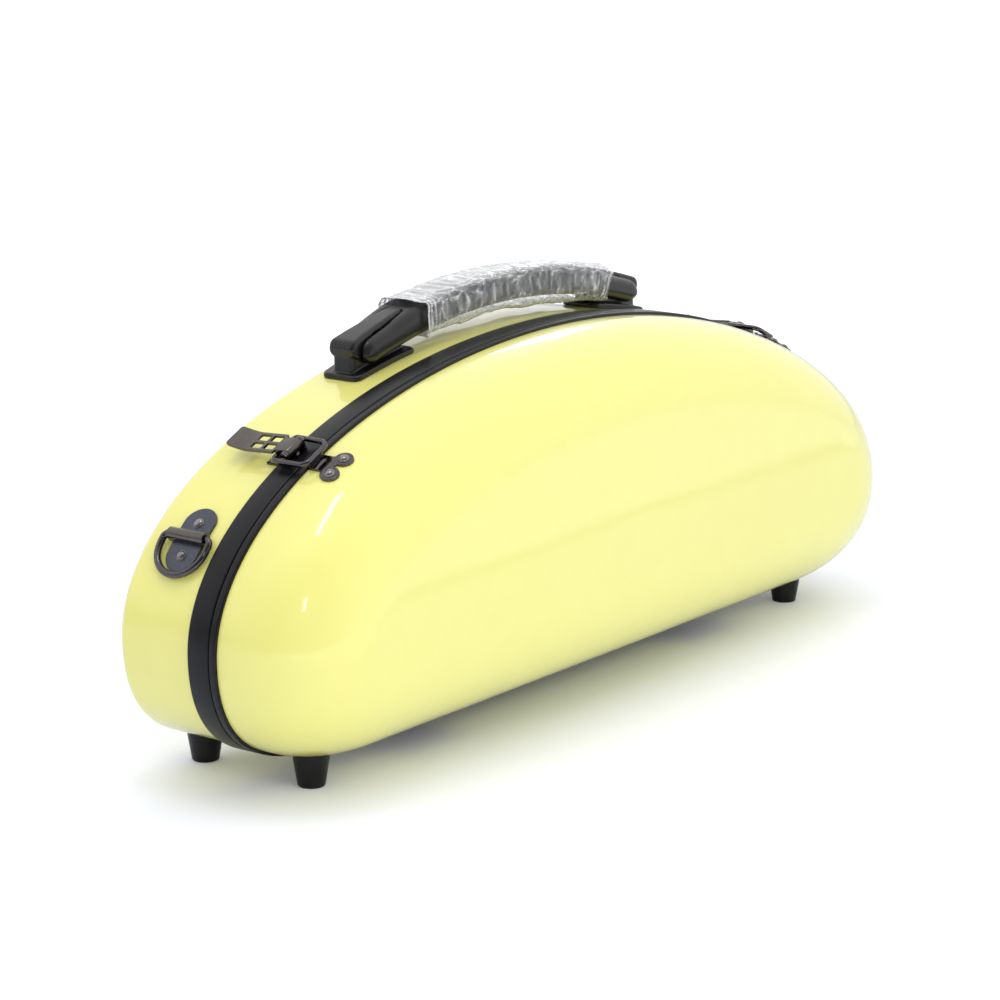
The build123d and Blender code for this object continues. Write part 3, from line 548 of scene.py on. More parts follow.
parts = add_node(sweep_tree, "ShaderNodeSeparateXYZ", {0: on_section.outputs["Value"]})
shift = add_node(sweep_tree, "ShaderNodeVectorMath", {
    0: grows_to.outputs["Value"], "Scale": parts.outputs["X"]}, operation="SCALE")
ring = add_node(sweep_tree, "ShaderNodeVectorMath", {
    0: on_outline.outputs["Value"], 1: shift}, operation="SUBTRACT")
closed = add_node(sweep_tree, "ShaderNodeMix", {
    0: parts.outputs["Z"], 4: ring, 5: given["Centre"]}, data_type="VECTOR")
depth = add_node(sweep_tree, "ShaderNodeCombineXYZ", {"Y": parts.outputs["Y"]})
spot = add_node(sweep_tree, "ShaderNodeVectorMath", {0: closed.outputs[1], 1: depth})
wrapped = add_node(sweep_tree, "GeometryNodeSetPosition", {"Geometry": grid, "Position": spot})
merged = add_node(sweep_tree, "GeometryNodeMergeByDistance", {"Geometry": wrapped, "Distance": 0.005 * MM})
end_tree(sweep_tree, merged.outputs[0], given["Material"])
print("sweep tree has", len(sweep_tree.nodes), "nodes")

# %% [markdown]
# The outline goes into the tree as a ring of points, each with an attribute that says which way
# is outward. The section goes in as a second row of points, and its three coordinates are used as
# three plain numbers: how far in from the outline, how far from the seam, and how far towards the
# middle, from 0 to 1, which closes the crown at a single point.

# %% Outline and section as point rows
def line_mesh(name, rows, closed=False):
    """A mesh of points joined by edges."""
    count = len(rows)
    edges = [(i, (i + 1) % count) for i in range(count if closed else count - 1)]
    mesh = bpy.data.meshes.new(name)
    mesh.from_pydata([Vector(r) * MM for r in rows], edges, [])
    return mesh


def outline_mesh():
    """The outline as a closed ring with its outward attribute."""
    at_rest = outline()
    grown_by_one = outline(1.0)
    mesh = line_mesh("outline", [(x, 0, z) for x, z in at_rest], closed=True)
    attribute = mesh.attributes.new("outward", "FLOAT_VECTOR", "POINT")
    for item, (x, z) in zip(attribute.data, grown_by_one - at_rest):
        item.vector = (x, 0, z)
    return mesh


crown_steps = 30
closing_steps = 12
way_to_middle = 28.0


def crown_curve(straight, crown, reach, power, limit):
    """Insets and depths of the curve that turns the straight wall over, up to a greatest inset."""
    curve = []
    last = math.acos((1 - limit / reach) ** (power / 2))
    for step in range(crown_steps + 1):
        turn = last * step / crown_steps
        inset = reach * (1 - max(math.cos(turn), 0) ** (2 / power))
        curve.append((inset, straight + crown * math.sin(turn) ** (2 / power)))
    return curve


def moved_in(curve, distance):
    """The curve moved inwards by a distance, square to itself."""
    moved = []
    for step, (inset, depth) in enumerate(curve):
        before, after = curve[max(step - 1, 0)], curve[min(step + 1, len(curve) - 1)]
        run = Vector((after[0] - before[0], after[1] - before[1])).normalized()
        moved.append((inset + distance * run.y, depth - distance * run.x))
    return moved


def cap(curve, side):
    """From the end of the curve to the middle of the face, which goes on swelling a little."""
    (before_inset, before_depth), (inset, depth) = curve[-2:]
    slope = (depth - before_depth) / (inset - before_inset) * way_to_middle
    rows = []
    for step in range(1, closing_steps + 1):
        share = step / closing_steps
        swell = face_swell[side] * share**2 * (3 - 2 * share) + slope * share * (1 - share) ** 2
        rows.append((inset, depth + swell, share))
    return rows


def wall_rows(side, curve, start, thickness, edge=0.3):
    """One wall's section, from the middle of its inner face round the rim and back."""
    inner = moved_in(curve, thickness)
    first, straight = curve[0]
    heights = [start + edge + (straight - start - edge) * i / 4 for i in range(4)]
    rows = cap(inner, side)[::-1]
    rows += [(inset, depth, 0) for inset, depth in reversed(inner)]
    rows += [(first + thickness, depth, 0) for depth in reversed(heights)]
    rows += [(first + thickness - edge, start, 0), (first + edge, start, 0)]
    rows += [(first, depth, 0) for depth in heights]
    return rows + [(inset, depth, 0) for inset, depth in curve] + cap(curve, side)


ring_mesh = outline_mesh()
ring_mesh.transform(Matrix.Translation((0, seam * MM, 0)))
middle = Vector((0, seam, arch_z + arch_rise / 4)) * MM
lid_crown = crown_curve(straight=4.8, crown=39.6, reach=37.0, power=2.2, limit=37.0)
base_crown = crown_curve(straight=39.8, crown=14.2, reach=60.0, power=2.0, limit=36.0)
face_swell = {-1: lid_depth - lid_crown[-1][1], 1: base_depth - base_crown[-1][1]}
print("crown curves have", len(lid_crown), "points")

# %% Both shells
def swept(name, side, rows, material):
    """Rows of inset, depth and share of the way to the middle, swept round the outline."""
    section = new_object("section", line_mesh("section", [(x, side * y, z / MM) for x, y, z in rows]))
    obj = grown(name, ring_mesh.copy(), sweep_tree, Section=section, Centre=middle, Material=material)
    bpy.data.objects.remove(section)
    return obj


lid_skin = swept("lid_skin", -1, wall_rows(-1, lid_crown, seam_gap, shell_wall), lacquered_abs)
base_skin = swept("base_skin", 1, wall_rows(1, base_crown, 0.0, shell_wall), lacquered_abs)
wear(lid_skin, lacquered_abs, "lid", "yellow_shell", "lid_shell")
wear(base_skin, lacquered_abs, "base", "yellow_shell", "base_shell")

# %% [markdown]
# ## Band
#
# A rubber band covers the seam. It is made of two strips with rounded edges, a wide one on the
# base and a narrow one on the lid, so that the groove between them is where the case opens. Both
# follow the outline and stop at the hinges. A strip along a path is what the second tree makes:
# it pulls a rounded rectangle along a row of points. Rings and loops of wire are the same thing
# with a rounding of half their width.

# %% Geometry tree for a bar along a path
bar_tree, given = new_tree(
    "bar_along_path", Width="Float", Height="Float", Rounding="Float", Closed="Bool",
    Face="Vector", Material="Material")
path = add_node(bar_tree, "GeometryNodeMeshToCurve", {"Mesh": given["Geometry"]})
faced = add_node(bar_tree, "GeometryNodeSetCurveNormal", {
    "Curve": path, "Normal": given["Face"]}, mode="FREE")
profile = add_node(bar_tree, "GeometryNodeCurvePrimitiveQuadrilateral", {
    "Width": given["Width"], "Height": given["Height"]})
soft_profile = add_node(bar_tree, "GeometryNodeFilletCurve", {
    "Curve": profile, "Count": 5, "Radius": given["Rounding"], "Limit Radius": True}, mode="POLY")
bar = add_node(bar_tree, "GeometryNodeCurveToMesh", {
    "Curve": faced, "Profile Curve": soft_profile, "Fill Caps": True})
joined = add_node(bar_tree, "GeometryNodeMergeByDistance", {"Geometry": bar, "Distance": 0.002 * MM})
end_tree(bar_tree, joined.outputs[0], given["Material"])


def bar_along(name, rows, width, height, rounding, face, material, closed=False, crease=40):
    """A bar of that section along a row of points; face is the direction of its width."""
    return grown(
        name, line_mesh(name, rows, closed), bar_tree, crease, Width=width * MM, Height=height * MM,
        Rounding=rounding * MM, Face=Vector(face), Material=material)


print("bar tree has", len(bar_tree.nodes), "nodes")

# %% The two strips of the band
band_proud = 1.2
band_sunk = 0.5
base_band_width = 9.6
lid_band_width = 3.0
band_edge_round = 0.55
hinge_x = 95.0
band_stop = 19.2


def joined_pieces(name, pieces, crease=40):
    """Several finished objects as one."""
    mesh = bpy.data.meshes.new(name)
    with editing(mesh) as whole:
        for piece in pieces:
            whole.from_mesh(piece.data)
            bpy.data.objects.remove(piece)
    return frozen(new_object(name, mesh), crease)


def band_strip(name, y, width):
    """One strip: the long run over the arch, and the short one between the hinges."""
    points = outline((band_proud - band_sunk) / 2)
    stop, clear = hinge_x - band_stop, hinge_x + band_stop
    start = next(i for i, p in enumerate(points) if p[0] > clear)
    end = next(i for i, p in enumerate(points) if p[0] > -clear)
    low = points[0][1]
    long_run = [(clear, low), *points[start:], *points[:end], (-clear, low)]
    between = [p for p in points if p[1] < foot_height and abs(p[0]) < stop]
    short_run = [(-stop, low), *between, (stop, low)]
    pieces = [
        bar_along(name + "_run", [(x, y, z) for x, z in run], width, band_proud + band_sunk,
                  band_edge_round, (0, 1, 0), moulded_rubber)
        for run in (long_run, short_run)]
    return joined_pieces(name, pieces)


base_strip = band_strip("base_band_strip", seam + base_band_width / 2, base_band_width)
lid_strip = band_strip("lid_band_strip", seam - seam_gap - lid_band_width / 2, lid_band_width)
wear(base_strip, moulded_rubber, "base", "black_rubber", "base_band")
wear(lid_strip, moulded_rubber, "lid", "black_rubber", "lid_band")

# %% [markdown]
# ## Feet
#
# A foot is a moulded rubber cone with a screw in a recess below. A cone is a turned shape: a few
# points of its radius and height, spun round the vertical. Its top can't be flat, because the
# shell above it is curved. So each point of the top ring is found by a ray that goes straight up
# to the shell.

# %% A turned shape
def turned(profile, steps=40):
    """Points of radius and height, spun round z and closed where they meet the axis."""
    mesh = bpy.data.meshes.new("turned")
    with editing(mesh) as shape:
        rings = []
        for radius, level in profile:
            turns = [2 * math.pi * i / steps for i in range(steps if radius > 0 else 1)]
            rings.append([
                shape.verts.new(Vector((radius * math.cos(a), radius * math.sin(a), level)) * MM)
                for a in turns])
        bridge(shape, rings)
    return mesh


print("a turned cone has", len(turned([(0, 0), (1, 0), (0, 1)]).polygons), "faces")

# %% The four feet
foot_x = half_length - 41.0
base_foot_y = seam + base_depth - 14.0
lid_foot_y = seam - 10.6
foot_top_radius = 6.6
foot_bottom_radius = 5.0
foot_into_wall = 1.2
foot_screw_recess = 3.0


def surface_of(obj):
    """The object's surface, for rays; cast from outside it, they meet the outer face first."""
    shape = bmesh.new()
    shape.from_mesh(obj.data)
    tree = BVHTree.FromBMesh(shape)
    shape.free()
    return tree


def foot(skin, x, y):
    """One foot, with its rounded tread, its screw recess, and its top cut to the shell above."""
    slope = (foot_top_radius - foot_bottom_radius) / foot_height
    recess = foot_screw_recess
    profile = [(0, recess), (2.1, recess), (2.2, recess - 0.1), (2.2, 0.35), (2.45, 0.06), (2.8, 0)]
    profile += [(foot_bottom_radius - 0.7, 0), (foot_bottom_radius - 0.25, 0.12)]
    profile += [(foot_bottom_radius + slope * z, z) for z in (0.5, 2, 4, 6, 8, 9.5)]
    profile += [(foot_top_radius, foot_height), (foot_top_radius, 11), (0, 11)]
    mesh = turned(profile, 56)
    for vertex in mesh.vertices:
        spot = vertex.co + Vector((x, y, 0)) * MM
        if vertex.co.z > 10.5 * MM:
            hit = skin.ray_cast(Vector((spot.x, spot.y, 0)), Vector((0, 0, 1)))[0]
            spot.z = hit.z + foot_into_wall * MM
        vertex.co = spot
    return new_object("foot", mesh)


def feet(name, skin, y):
    """The pair of feet under one shell."""
    pieces = [foot(surface_of(skin), side * foot_x, y) for side in (-1, 1)]
    return joined_pieces(name, pieces, crease=50)


rear_feet = feet("base_rubber_feet", base_skin, base_foot_y)
front_feet = feet("lid_rubber_feet", lid_skin, lid_foot_y)
wear(rear_feet, moulded_rubber, "base", "black_rubber", "base_feet")
wear(front_feet, moulded_rubber, "lid", "black_rubber", "lid_feet")

# %% [markdown]
# ## Rivets
#
# Every fitting is held by rivets: a domed head outside, a shank through the wall, and a clenched
# tail inside. A dozen of one shape would be tedious to place by hand. So the third tree puts a copy
# of one turned rivet on each of a few points, standing along the direction stored at that point.

# %% Geometry tree that stands pieces on points
stand_tree, given = new_tree("pieces_on_points", Piece="Object", Material="Material")
piece = add_node(stand_tree, "GeometryNodeObjectInfo", {"Object": given["Piece"], "As Instance": True})
facing = add_node(stand_tree, "GeometryNodeInputNamedAttribute", {"Name": "facing"}, data_type="FLOAT_VECTOR")
stood = add_node(stand_tree, "FunctionNodeAlignRotationToVector", {
    "Vector": facing.outputs["Attribute"]}, axis="Z")
copies = add_node(stand_tree, "GeometryNodeInstanceOnPoints", {
    "Points": given["Geometry"], "Instance": piece.outputs["Geometry"], "Rotation": stood})
end_tree(stand_tree, copies.outputs[0], given["Material"])


def stand_on(name, frames, profile, material, steps=32):
    """Turned pieces on frames, each along its frame's z."""
    mesh = bpy.data.meshes.new(name)
    mesh.from_pydata([f.translation * MM for f in frames], [], [])
    attribute = mesh.attributes.new("facing", "FLOAT_VECTOR", "POINT")
    for item, f in zip(attribute.data, frames):
        item.vector = f.col[2].xyz
    pattern = new_object("pattern", turned(profile, steps))
    result = grown(name, mesh, stand_tree, Piece=pattern, Material=material)
    bpy.data.objects.remove(pattern)
    return result


def rivet_profile(seat, head=2.1, rise=1.2):
    """A domed head with a thin rim on the seat, the shank, and the tail behind the wall."""
    tail = -shell_wall - 0.1
    dome = head - 0.3
    profile = [(0, seat + rise)]
    for step in range(1, 9):
        turn = math.pi / 2 * step / 8
        profile.append((dome * math.sin(turn), seat + 0.3 + (rise - 0.3) * math.cos(turn)))
    profile += [(head - 0.08, seat + 0.28), (head, seat + 0.18), (head, seat)]
    profile += [(1.3, seat), (1.3, tail), (2.6, tail), (2.5, tail - 0.4), (2.2, tail - 0.5), (0, tail - 0.5)]
    return profile


def four_frames(x, y, apart):
    """Two frames on each side of the case, apart from each other along the arch."""
    return [arch_frame(side * x, y, way * apart) for side in (-1, 1) for way in (-1, 1)]


print("rivet profile has", len(rivet_profile(1.0)), "points")

# %% [markdown]
# ## Draw latches
#
# A draw latch pulls the lid shut: a lever on the base swings a wire loop over a hook on the lid.
# The lever is stamped sheet with four windows, rolled round its pin at one end and turned up at
# the other, where a finger lifts it. It starts as a flat outline with holes, which Blender fills
# and thickens, with a small bevel such as a stamping has. Then its points are moved to bend it.

# %% Flat plates from outlines
def stamped(name, loops, thickness, bevel=0.12, low=0.0):
    """A flat plate from closed loops of x and y, the inner ones being holes; low is its underside."""
    curve = bpy.data.curves.new(name, "CURVE")
    curve.dimensions = "2D"
    curve.fill_mode = "BOTH"
    curve.extrude = (thickness / 2 - bevel) * MM
    curve.bevel_depth = bevel * MM
    curve.bevel_resolution = 2
    curve.offset = -bevel * MM
    for loop in loops:
        spline = curve.splines.new("POLY")
        spline.points.add(len(loop) - 1)
        for point, (x, y) in zip(spline.points, loop):
            point.co = (x * MM, y * MM, 0, 1)
        spline.use_cyclic_u = True
    obj = new_object(name, curve)
    depsgraph = bpy.context.evaluated_depsgraph_get()
    mesh = bpy.data.meshes.new_from_object(obj.evaluated_get(depsgraph))
    bpy.data.objects.remove(obj)
    mesh.transform(Matrix.Translation((0, 0, (low + thickness / 2) * MM)))
    with editing(mesh) as sheet:
        bmesh.ops.remove_doubles(sheet, verts=sheet.verts, dist=same_point)
    mesh.materials.clear()
    return mesh


def cut_across(mesh, axis, places):
    """Adds edges across a plate, so that it can bend there."""
    normal = Vector((0, 0, 0))
    normal[axis] = 1
    with editing(mesh) as sheet:
        for place in places:
            geometry = [*sheet.verts, *sheet.edges, *sheet.faces]
            bmesh.ops.bisect_plane(
                sheet, geom=geometry, plane_co=normal * place * MM, plane_no=normal, dist=same_point)


def placed(mesh, place):
    """Moves a mesh by a frame whose place is in millimetres."""
    place = place.copy()
    place.translation *= MM
    mesh.transform(place)
    return mesh


def arc_points(centre, radius, start, end, steps):
    """Points of an arc, its angles in degrees."""
    turns = [math.radians(start + (end - start) * i / steps) for i in range(steps + 1)]
    return [(centre[0] + radius * math.cos(a), centre[1] + radius * math.sin(a)) for a in turns]


def rounded_block(half, low, high, round_top, round_low, steps=6):
    """Points round a rectangle with round corners, anticlockwise, centred on x = 0."""
    points = []
    for side, level, radius, start in (
            (1, high - round_top, round_top, 0), (-1, high - round_top, round_top, 90),
            (-1, low + round_low, round_low, 180), (1, low + round_low, round_low, 270)):
        points += arc_points((side * (half - radius), level), radius, start, start + 90, steps)
    return points


print("an arc of 4 steps has", len(arc_points((0, 0), 1, 0, 90, 4)), "points")

# %% Lever
latch_x = half_length - 54.0
latch_pivot = (5.3, 5.1)
lever_tilt = -4.0
lever_half = 5.4
lever_length = 26.6
lever_bend = 17.6
lever_rise = 2.1
lever_thickness = 1.0
barrel_radius = 1.8
barrel_half = 3.8
lever_neck = 4.8
window_width = 3.3
window_length = 4.9
window_apart = 1.3
window_corner = 0.45
first_window = 5.7
loop_arm = 4.2
loop_bearing = -10.0
lug_radius = 1.68
lug_thickness = 1.4
lug_x = 2.7


def lever_mesh():
    """The lever about its pin, before it is tilted."""
    h, tip = lever_half, lever_length
    outer = [(-barrel_half, 0), (barrel_half, 0), (barrel_half, lever_neck - 0.6)]
    outer += arc_points((barrel_half + 0.5, lever_neck - 0.5), 0.5, 180, 90, 4)
    outer += arc_points((h - 0.6, lever_neck + 0.6), 0.6, -90, 0, 4)
    outer += [(h, lever_bend)] + arc_points((h - 1.1, tip - 1.1), 1.1, 0, 90, 5)
    outer += [(-x, y) for x, y in reversed(outer[2:])]
    loops = [outer]
    for row in (0, 1):
        low = first_window + row * (window_length + window_apart)
        window = rounded_block(
            window_width / 2, low, low + window_length, window_corner, window_corner, 4)
        beside = (window_width + window_apart) / 2
        loops += [[(x + middle, y) for x, y in reversed(window)] for middle in (-beside, beside)]
    mesh = stamped("lever", loops, lever_thickness, 0.14, low=barrel_radius - lever_thickness)
    cut_across(mesh, 1, [lever_bend + i * 0.75 for i in range(12)])
    for vertex in mesh.vertices:
        past_bend = max(0, vertex.co.y / MM - lever_bend) / (lever_length - lever_bend)
        vertex.co.z += lever_rise * MM * past_bend**1.35
    return mesh


def rolled_barrel():
    """The rolled end: sheet wound round the pin, ending in a small step under the lever."""
    steps = 26
    start, end = 90, 90 + 318
    outer = arc_points((0, 0), barrel_radius, start, end, steps)
    inner = arc_points((0, 0), barrel_radius - 0.72, end, start, steps)
    return bar_prism("barrel", outer + inner, 2 * barrel_half)


def bar_prism(name, profile, length, bevel=0.12):
    """A profile of y and z pulled along x, with its ends bevelled, centred on x = 0."""
    mesh = stamped(name, [profile], length, bevel, low=-length / 2)
    turn = Matrix(((0, 0, 1, 0), (1, 0, 0, 0), (0, 1, 0, 0), (0, 0, 0, 1)))
    mesh.transform(turn)
    return mesh


def lug(x, y, z):
    """The eye under the lever that the loop turns in."""
    top = barrel_radius - lever_thickness + 0.3
    profile = [(y + lug_radius, top), (y - lug_radius, top)]
    profile += arc_points((y, z), lug_radius, 180, 360, 16)
    mesh = bar_prism("lug", profile, lug_thickness)
    mesh.transform(Matrix.Translation((x * MM, 0, 0)))
    return mesh


def latch_lever(name, side):
    """Lever, barrel and lugs as one stamping, on its pin."""
    turn = Matrix.Rotation(math.radians(lever_tilt), 4, "X")
    pivot = Matrix.Translation((0, *latch_pivot))
    place = arch_frame(side * latch_x, seam) @ pivot @ turn
    arm = math.radians(loop_bearing - lever_tilt)
    lug_y, lug_z = loop_arm * math.cos(arm), loop_arm * math.sin(arm)
    meshes = [lever_mesh(), rolled_barrel()] + [lug(x, lug_y, lug_z) for x in (-lug_x, lug_x)]
    pieces = [new_object("part", placed(mesh, place)) for mesh in meshes]
    lever = joined_pieces(name, pieces, crease=32)
    return wear(lever, brushed_nickel, name.replace("latch_lever", "lever"), "dark_nickel", name)


def side_names(name):
    """A name for the left and the right, with its side."""
    return ((name + "_left", -1), (name + "_right", 1))


for name, side in side_names("latch_lever"):
    latch_lever(name, side).name = name.replace("latch_lever", "stamped_lever")

# %% [markdown]
# The loop is a bent wire: a rounded rectangle that turns in the lever's two eyes and lies over
# the hook with its far side. It follows a path, so the bar tree makes it, with a rounding of half
# its width, which turns the bar into a round wire.

# %% Loop
loop_wire = 1.0
loop_half = 7.1
pivot_corner = 1.5
hook_corner = 3.0
lever_locked = -9.0
loop_per_lever = 0.5
locked_bar = (-5.7, 2.4)


def loop_pivot_turned(turn):
    """The loop's pivot in the latch's frame, with the lever turned from rest."""
    angle = math.radians(loop_bearing + turn)
    return latch_pivot[0] + loop_arm * math.cos(angle), latch_pivot[1] + loop_arm * math.sin(angle)


locked_y, locked_z = loop_pivot_turned(lever_locked)
loop_length = math.hypot(locked_y - locked_bar[0], locked_z - locked_bar[1])
locked_bearing = math.degrees(math.atan2(locked_bar[1] - locked_z, locked_bar[0] - locked_y))
rest_bearing = locked_bearing + loop_per_lever * lever_locked


def bent_wire(name, place, rows, radius):
    """A closed loop of round wire, its flat rows laid in a frame."""
    rows = [place @ Vector((x, y, 0)) for x, y in rows]
    return bar_along(
        name, rows, 2 * radius, 2 * radius, radius, place.col[2].xyz, black_nickel,
        closed=True, crease=60)


for name, side in side_names("latch_loop"):
    pivot = Matrix.Translation((0, *loop_pivot_turned(0)))
    turn = Matrix.Rotation(math.radians(rest_bearing - 180), 4, "X")
    place = arch_frame(side * latch_x, seam) @ pivot @ turn
    rows = rounded_block(loop_half, -loop_length, 0, pivot_corner, hook_corner, 8)
    loop = bent_wire(name.replace("latch", "wire"), place, rows, loop_wire)
    wear(loop, black_nickel, name.replace("latch_", ""), "dark_nickel", name)
print("loop is", round(loop_length, 2), "mm long")

# %% [markdown]
# The catch is stamped from thicker sheet, with an ear for each rivet. Its front edge is turned up
# into the hook. It lies on the curved arch, so its points are laid round the arch: how far a point
# is along the plate becomes how far it goes along the curve.

# %% Laying a plate on the arch
def arch_turn(x, along):
    """The angle on the arch that lies a distance along it from x, towards the right."""
    turn = math.acos(x / half_length)
    steps = 24
    for _ in range(steps):
        speed = math.hypot(half_length * math.sin(turn), arch_rise * math.cos(turn))
        turn -= along / steps / speed
    return turn


def crown_drop(y):
    """How far the lid's crown lies below the plain arch at y."""
    insets, depths = zip(*lid_crown)
    return np.interp(seam - y, depths, insets)


def laid_on_arch(mesh, x, y, flip=1):
    """Lays a flat mesh on the arch, its origin over x and y; flip -1 turns it end for end."""
    for vertex in mesh.vertices:
        across, up, out = vertex.co / MM
        turn = arch_turn(x, flip * across)
        spot = Vector((half_length * math.cos(turn), 0, arch_z + arch_rise * math.sin(turn)))
        normal = Vector((math.cos(turn) / half_length, 0, math.sin(turn) / arch_rise)).normalized()
        place = y + flip * up
        vertex.co = (spot + normal * (out - crown_drop(place)) + Vector((0, place, 0))) * MM
    return mesh


print("10 mm along the arch from its top is", round(half_length * math.cos(arch_turn(0, 10)), 3))

# %% Catch
catch_rivet_y = -13.2
catch_ear = 4.45
catch_ear_radius = 3.6
catch_front = -3.45
catch_half = 4.2
catch_thickness = 1.0


def catch_mesh():
    """Plate with its two ears, and the hook that stands at its front edge."""
    ear = (catch_ear, catch_rivet_y)
    shoulder = math.degrees(math.acos((catch_half - catch_ear) / catch_ear_radius))
    half_loop = [(catch_half, catch_front + 0.1), (catch_half, catch_rivet_y + 4.6)]
    half_loop += arc_points(ear, catch_ear_radius, shoulder - 6, -180, 34)
    half_loop += arc_points((0, catch_rivet_y - 0.1), 0.82, 0, 90, 5)[:-1]
    outer = half_loop + [(0, catch_rivet_y + 0.72)] + [(-x, y) for x, y in reversed(half_loop)]
    mesh = stamped("catch", [outer], catch_thickness, 0.16)
    cut_across(mesh, 0, [-6, -4, -2, 0, 2, 4, 6])
    return mesh


def hook_mesh():
    """The turned-up front edge, curled a little over the loop's bar."""
    bar_y, bar_z = loop_pivot_turned(0)
    bar_y += loop_length * math.cos(math.radians(rest_bearing))
    bar_z += loop_length * math.sin(math.radians(rest_bearing))
    face = bar_y + loop_wire + 0.25
    top = bar_z - loop_wire - 0.3
    back = catch_front
    profile = [(face, 0.02), (back, 0.02), (back, top - 0.5)]
    profile += arc_points((back - 0.5, top - 0.5), 0.5, 0, 90, 5)
    profile += arc_points((face + 0.5, top - 0.5), 0.5, 90, 180, 5)
    return bar_prism("hook", profile, 2 * catch_half, 0.2)


for name, side in side_names("latch_catch"):
    pieces = [
        new_object("part", laid_on_arch(mesh, side * latch_x, seam)) for mesh in (catch_mesh(), hook_mesh())]
    catch = joined_pieces("hooked" + name[5:], pieces, crease=35)
    wear(catch, black_nickel, "lid", "dark_nickel", name)

# %% Latch rivets
bracket_rivet_y = 13.1
bracket_rivet_x = 2.9
bracket_thickness = 0.72
ear_y = seam + catch_rivet_y
catch_drop = crown_drop(ear_y)
catch_slope = math.atan(crown_drop(ear_y - 0.5) - crown_drop(ear_y + 0.5))
catch_seat = Matrix.Translation((0, 0, -catch_drop)) @ Matrix.Rotation(catch_slope, 4, "X")
catch_frames = [frame_at @ catch_seat for frame_at in four_frames(latch_x, ear_y, catch_ear)]
bracket_frames = four_frames(latch_x, seam + bracket_rivet_y, bracket_rivet_x)
catch_rivets = stand_on("catch_rivets", catch_frames, rivet_profile(catch_thickness), bright_nickel)
bracket_rivets = stand_on(
    "bracket_rivets", bracket_frames, rivet_profile(bracket_thickness, head=1.6), bright_nickel)
wear(catch_rivets, bright_nickel, "lid", "bright_steel", "latch_catch_rivets")
wear(bracket_rivets, bright_nickel, "base", "bright_steel", "latch_bracket_rivets")

# %% [markdown]
# ## Strap rings
#
# A plate with two round lobes is riveted to each end. A strap folded out of the same sheet holds
# the straight side of a D-shaped ring, which hangs free and swings up when a strap pulls on it.
# The plate is an outline of two arcs and is laid on the arch, as the catch is. The ring is bent
# wire again.

# %% Ring plate
ring_x = half_length - 17.2
ring_y = seam + base_band_width + 13.3
ring_plate_thickness = 1.1
ring_plate_radius = 6.9
ring_rivet_pitch = 13.5


def ring_plate_mesh():
    """Two lobes with slightly drawn-in flanks."""
    lobe = ring_rivet_pitch / 2 - 0.35
    outer = arc_points((lobe, 0), ring_plate_radius, -82, 82, 30)
    outer += arc_points((-lobe, 0), ring_plate_radius, 98, 262, 30)
    mesh = stamped("ring_plate", [outer], ring_plate_thickness - 0.05, 0.2, low=0.05)
    cut_across(mesh, 0, [-12 + i * 1.5 for i in range(17)])
    return mesh


for name, side in side_names("ring_plate"):
    plate_mesh = laid_on_arch(ring_plate_mesh(), side * ring_x, ring_y, flip=-side)
    plate = frozen(new_object("two_lobed" + name[4:], plate_mesh), 35)
    wear(plate, slate_plate, "base", "dark_nickel", name)

# %% Folded strap
ring_wire = 1.35
ring_axis = ring_plate_thickness + ring_wire + 0.1
strap_length = 16.6
strap_thickness = 0.9


def ring_place(side):
    """The frame at a ring: x up the arch, z outwards."""
    flat = arch_frame(side * ring_x, ring_y)
    return flat @ Matrix.Diagonal((-side, -side, 1, 1))


def strap_mesh():
    """A strip folded over the ring's bar, its two legs standing on the plate."""
    bore = ring_wire + 0.1
    outer = bore + strap_thickness
    low = ring_plate_thickness - 0.05
    profile = [(-outer, low)] + arc_points((0, ring_axis), outer, 180, 0, 24) + [(outer, low)]
    profile += [(bore, low)] + arc_points((0, ring_axis), bore, 0, 180, 20) + [(-bore, low)]
    mesh = bar_prism("strap", profile, strap_length, 0.16)
    mesh.transform(Matrix.Rotation(math.radians(90), 4, "Z"))
    return mesh


for name, side in side_names("ring_strap"):
    strap = frozen(new_object("folded" + name[4:], placed(strap_mesh(), ring_place(side))), 35)
    wear(strap, brushed_nickel, "base", "dark_nickel", name)

# %% D-shaped ring
ring_half = 10.65
ring_drop = 15.2
ring_corner = 2.4
ring_tilt = 7.0


def ring_rows():
    """The ring's centre line: its straight bar on x = 0, and a half circle below."""
    arms = ring_drop - ring_half
    rows = arc_points((-ring_corner, ring_half - ring_corner), ring_corner, 0, 90, 8)
    rows += arc_points((-arms, 0), ring_half, 90, 270, 44)
    rows += arc_points((-ring_corner, ring_corner - ring_half), ring_corner, 270, 360, 8)
    return rows


for name, side in side_names("strap_ring"):
    place = ring_place(side) @ Matrix.Translation((0, 0, ring_axis))
    place = place @ Matrix.Rotation(math.radians(-ring_tilt), 4, "Y")
    ring = bent_wire("d_ring" + name[10:], place, ring_rows(), ring_wire)
    wear(ring, black_nickel, name.replace("strap_", ""), "dark_nickel", name)

ring_frames = four_frames(ring_x, ring_y, ring_rivet_pitch / 2)
ring_rivets = stand_on("ring_plate_rivets", ring_frames, rivet_profile(ring_plate_thickness), bright_nickel)
wear(ring_rivets, bright_nickel, "base", "bright_steel", "ring_rivets")

# %% [markdown]
# ## Handle
#
# The handle is a stiff plastic bar, bent to a shallow arc. At each end it forks round a cast
# tongue that is screwed to the shell. Everything on it is soft-edged, as thick mouldings are. Such
# a shape is awkward to bevel edge by edge, so the plain forms are put together first. Then a
# voxel remesh makes them one skin of even small faces, and smoothing that skin rounds every edge
# and fills every inner corner alike.

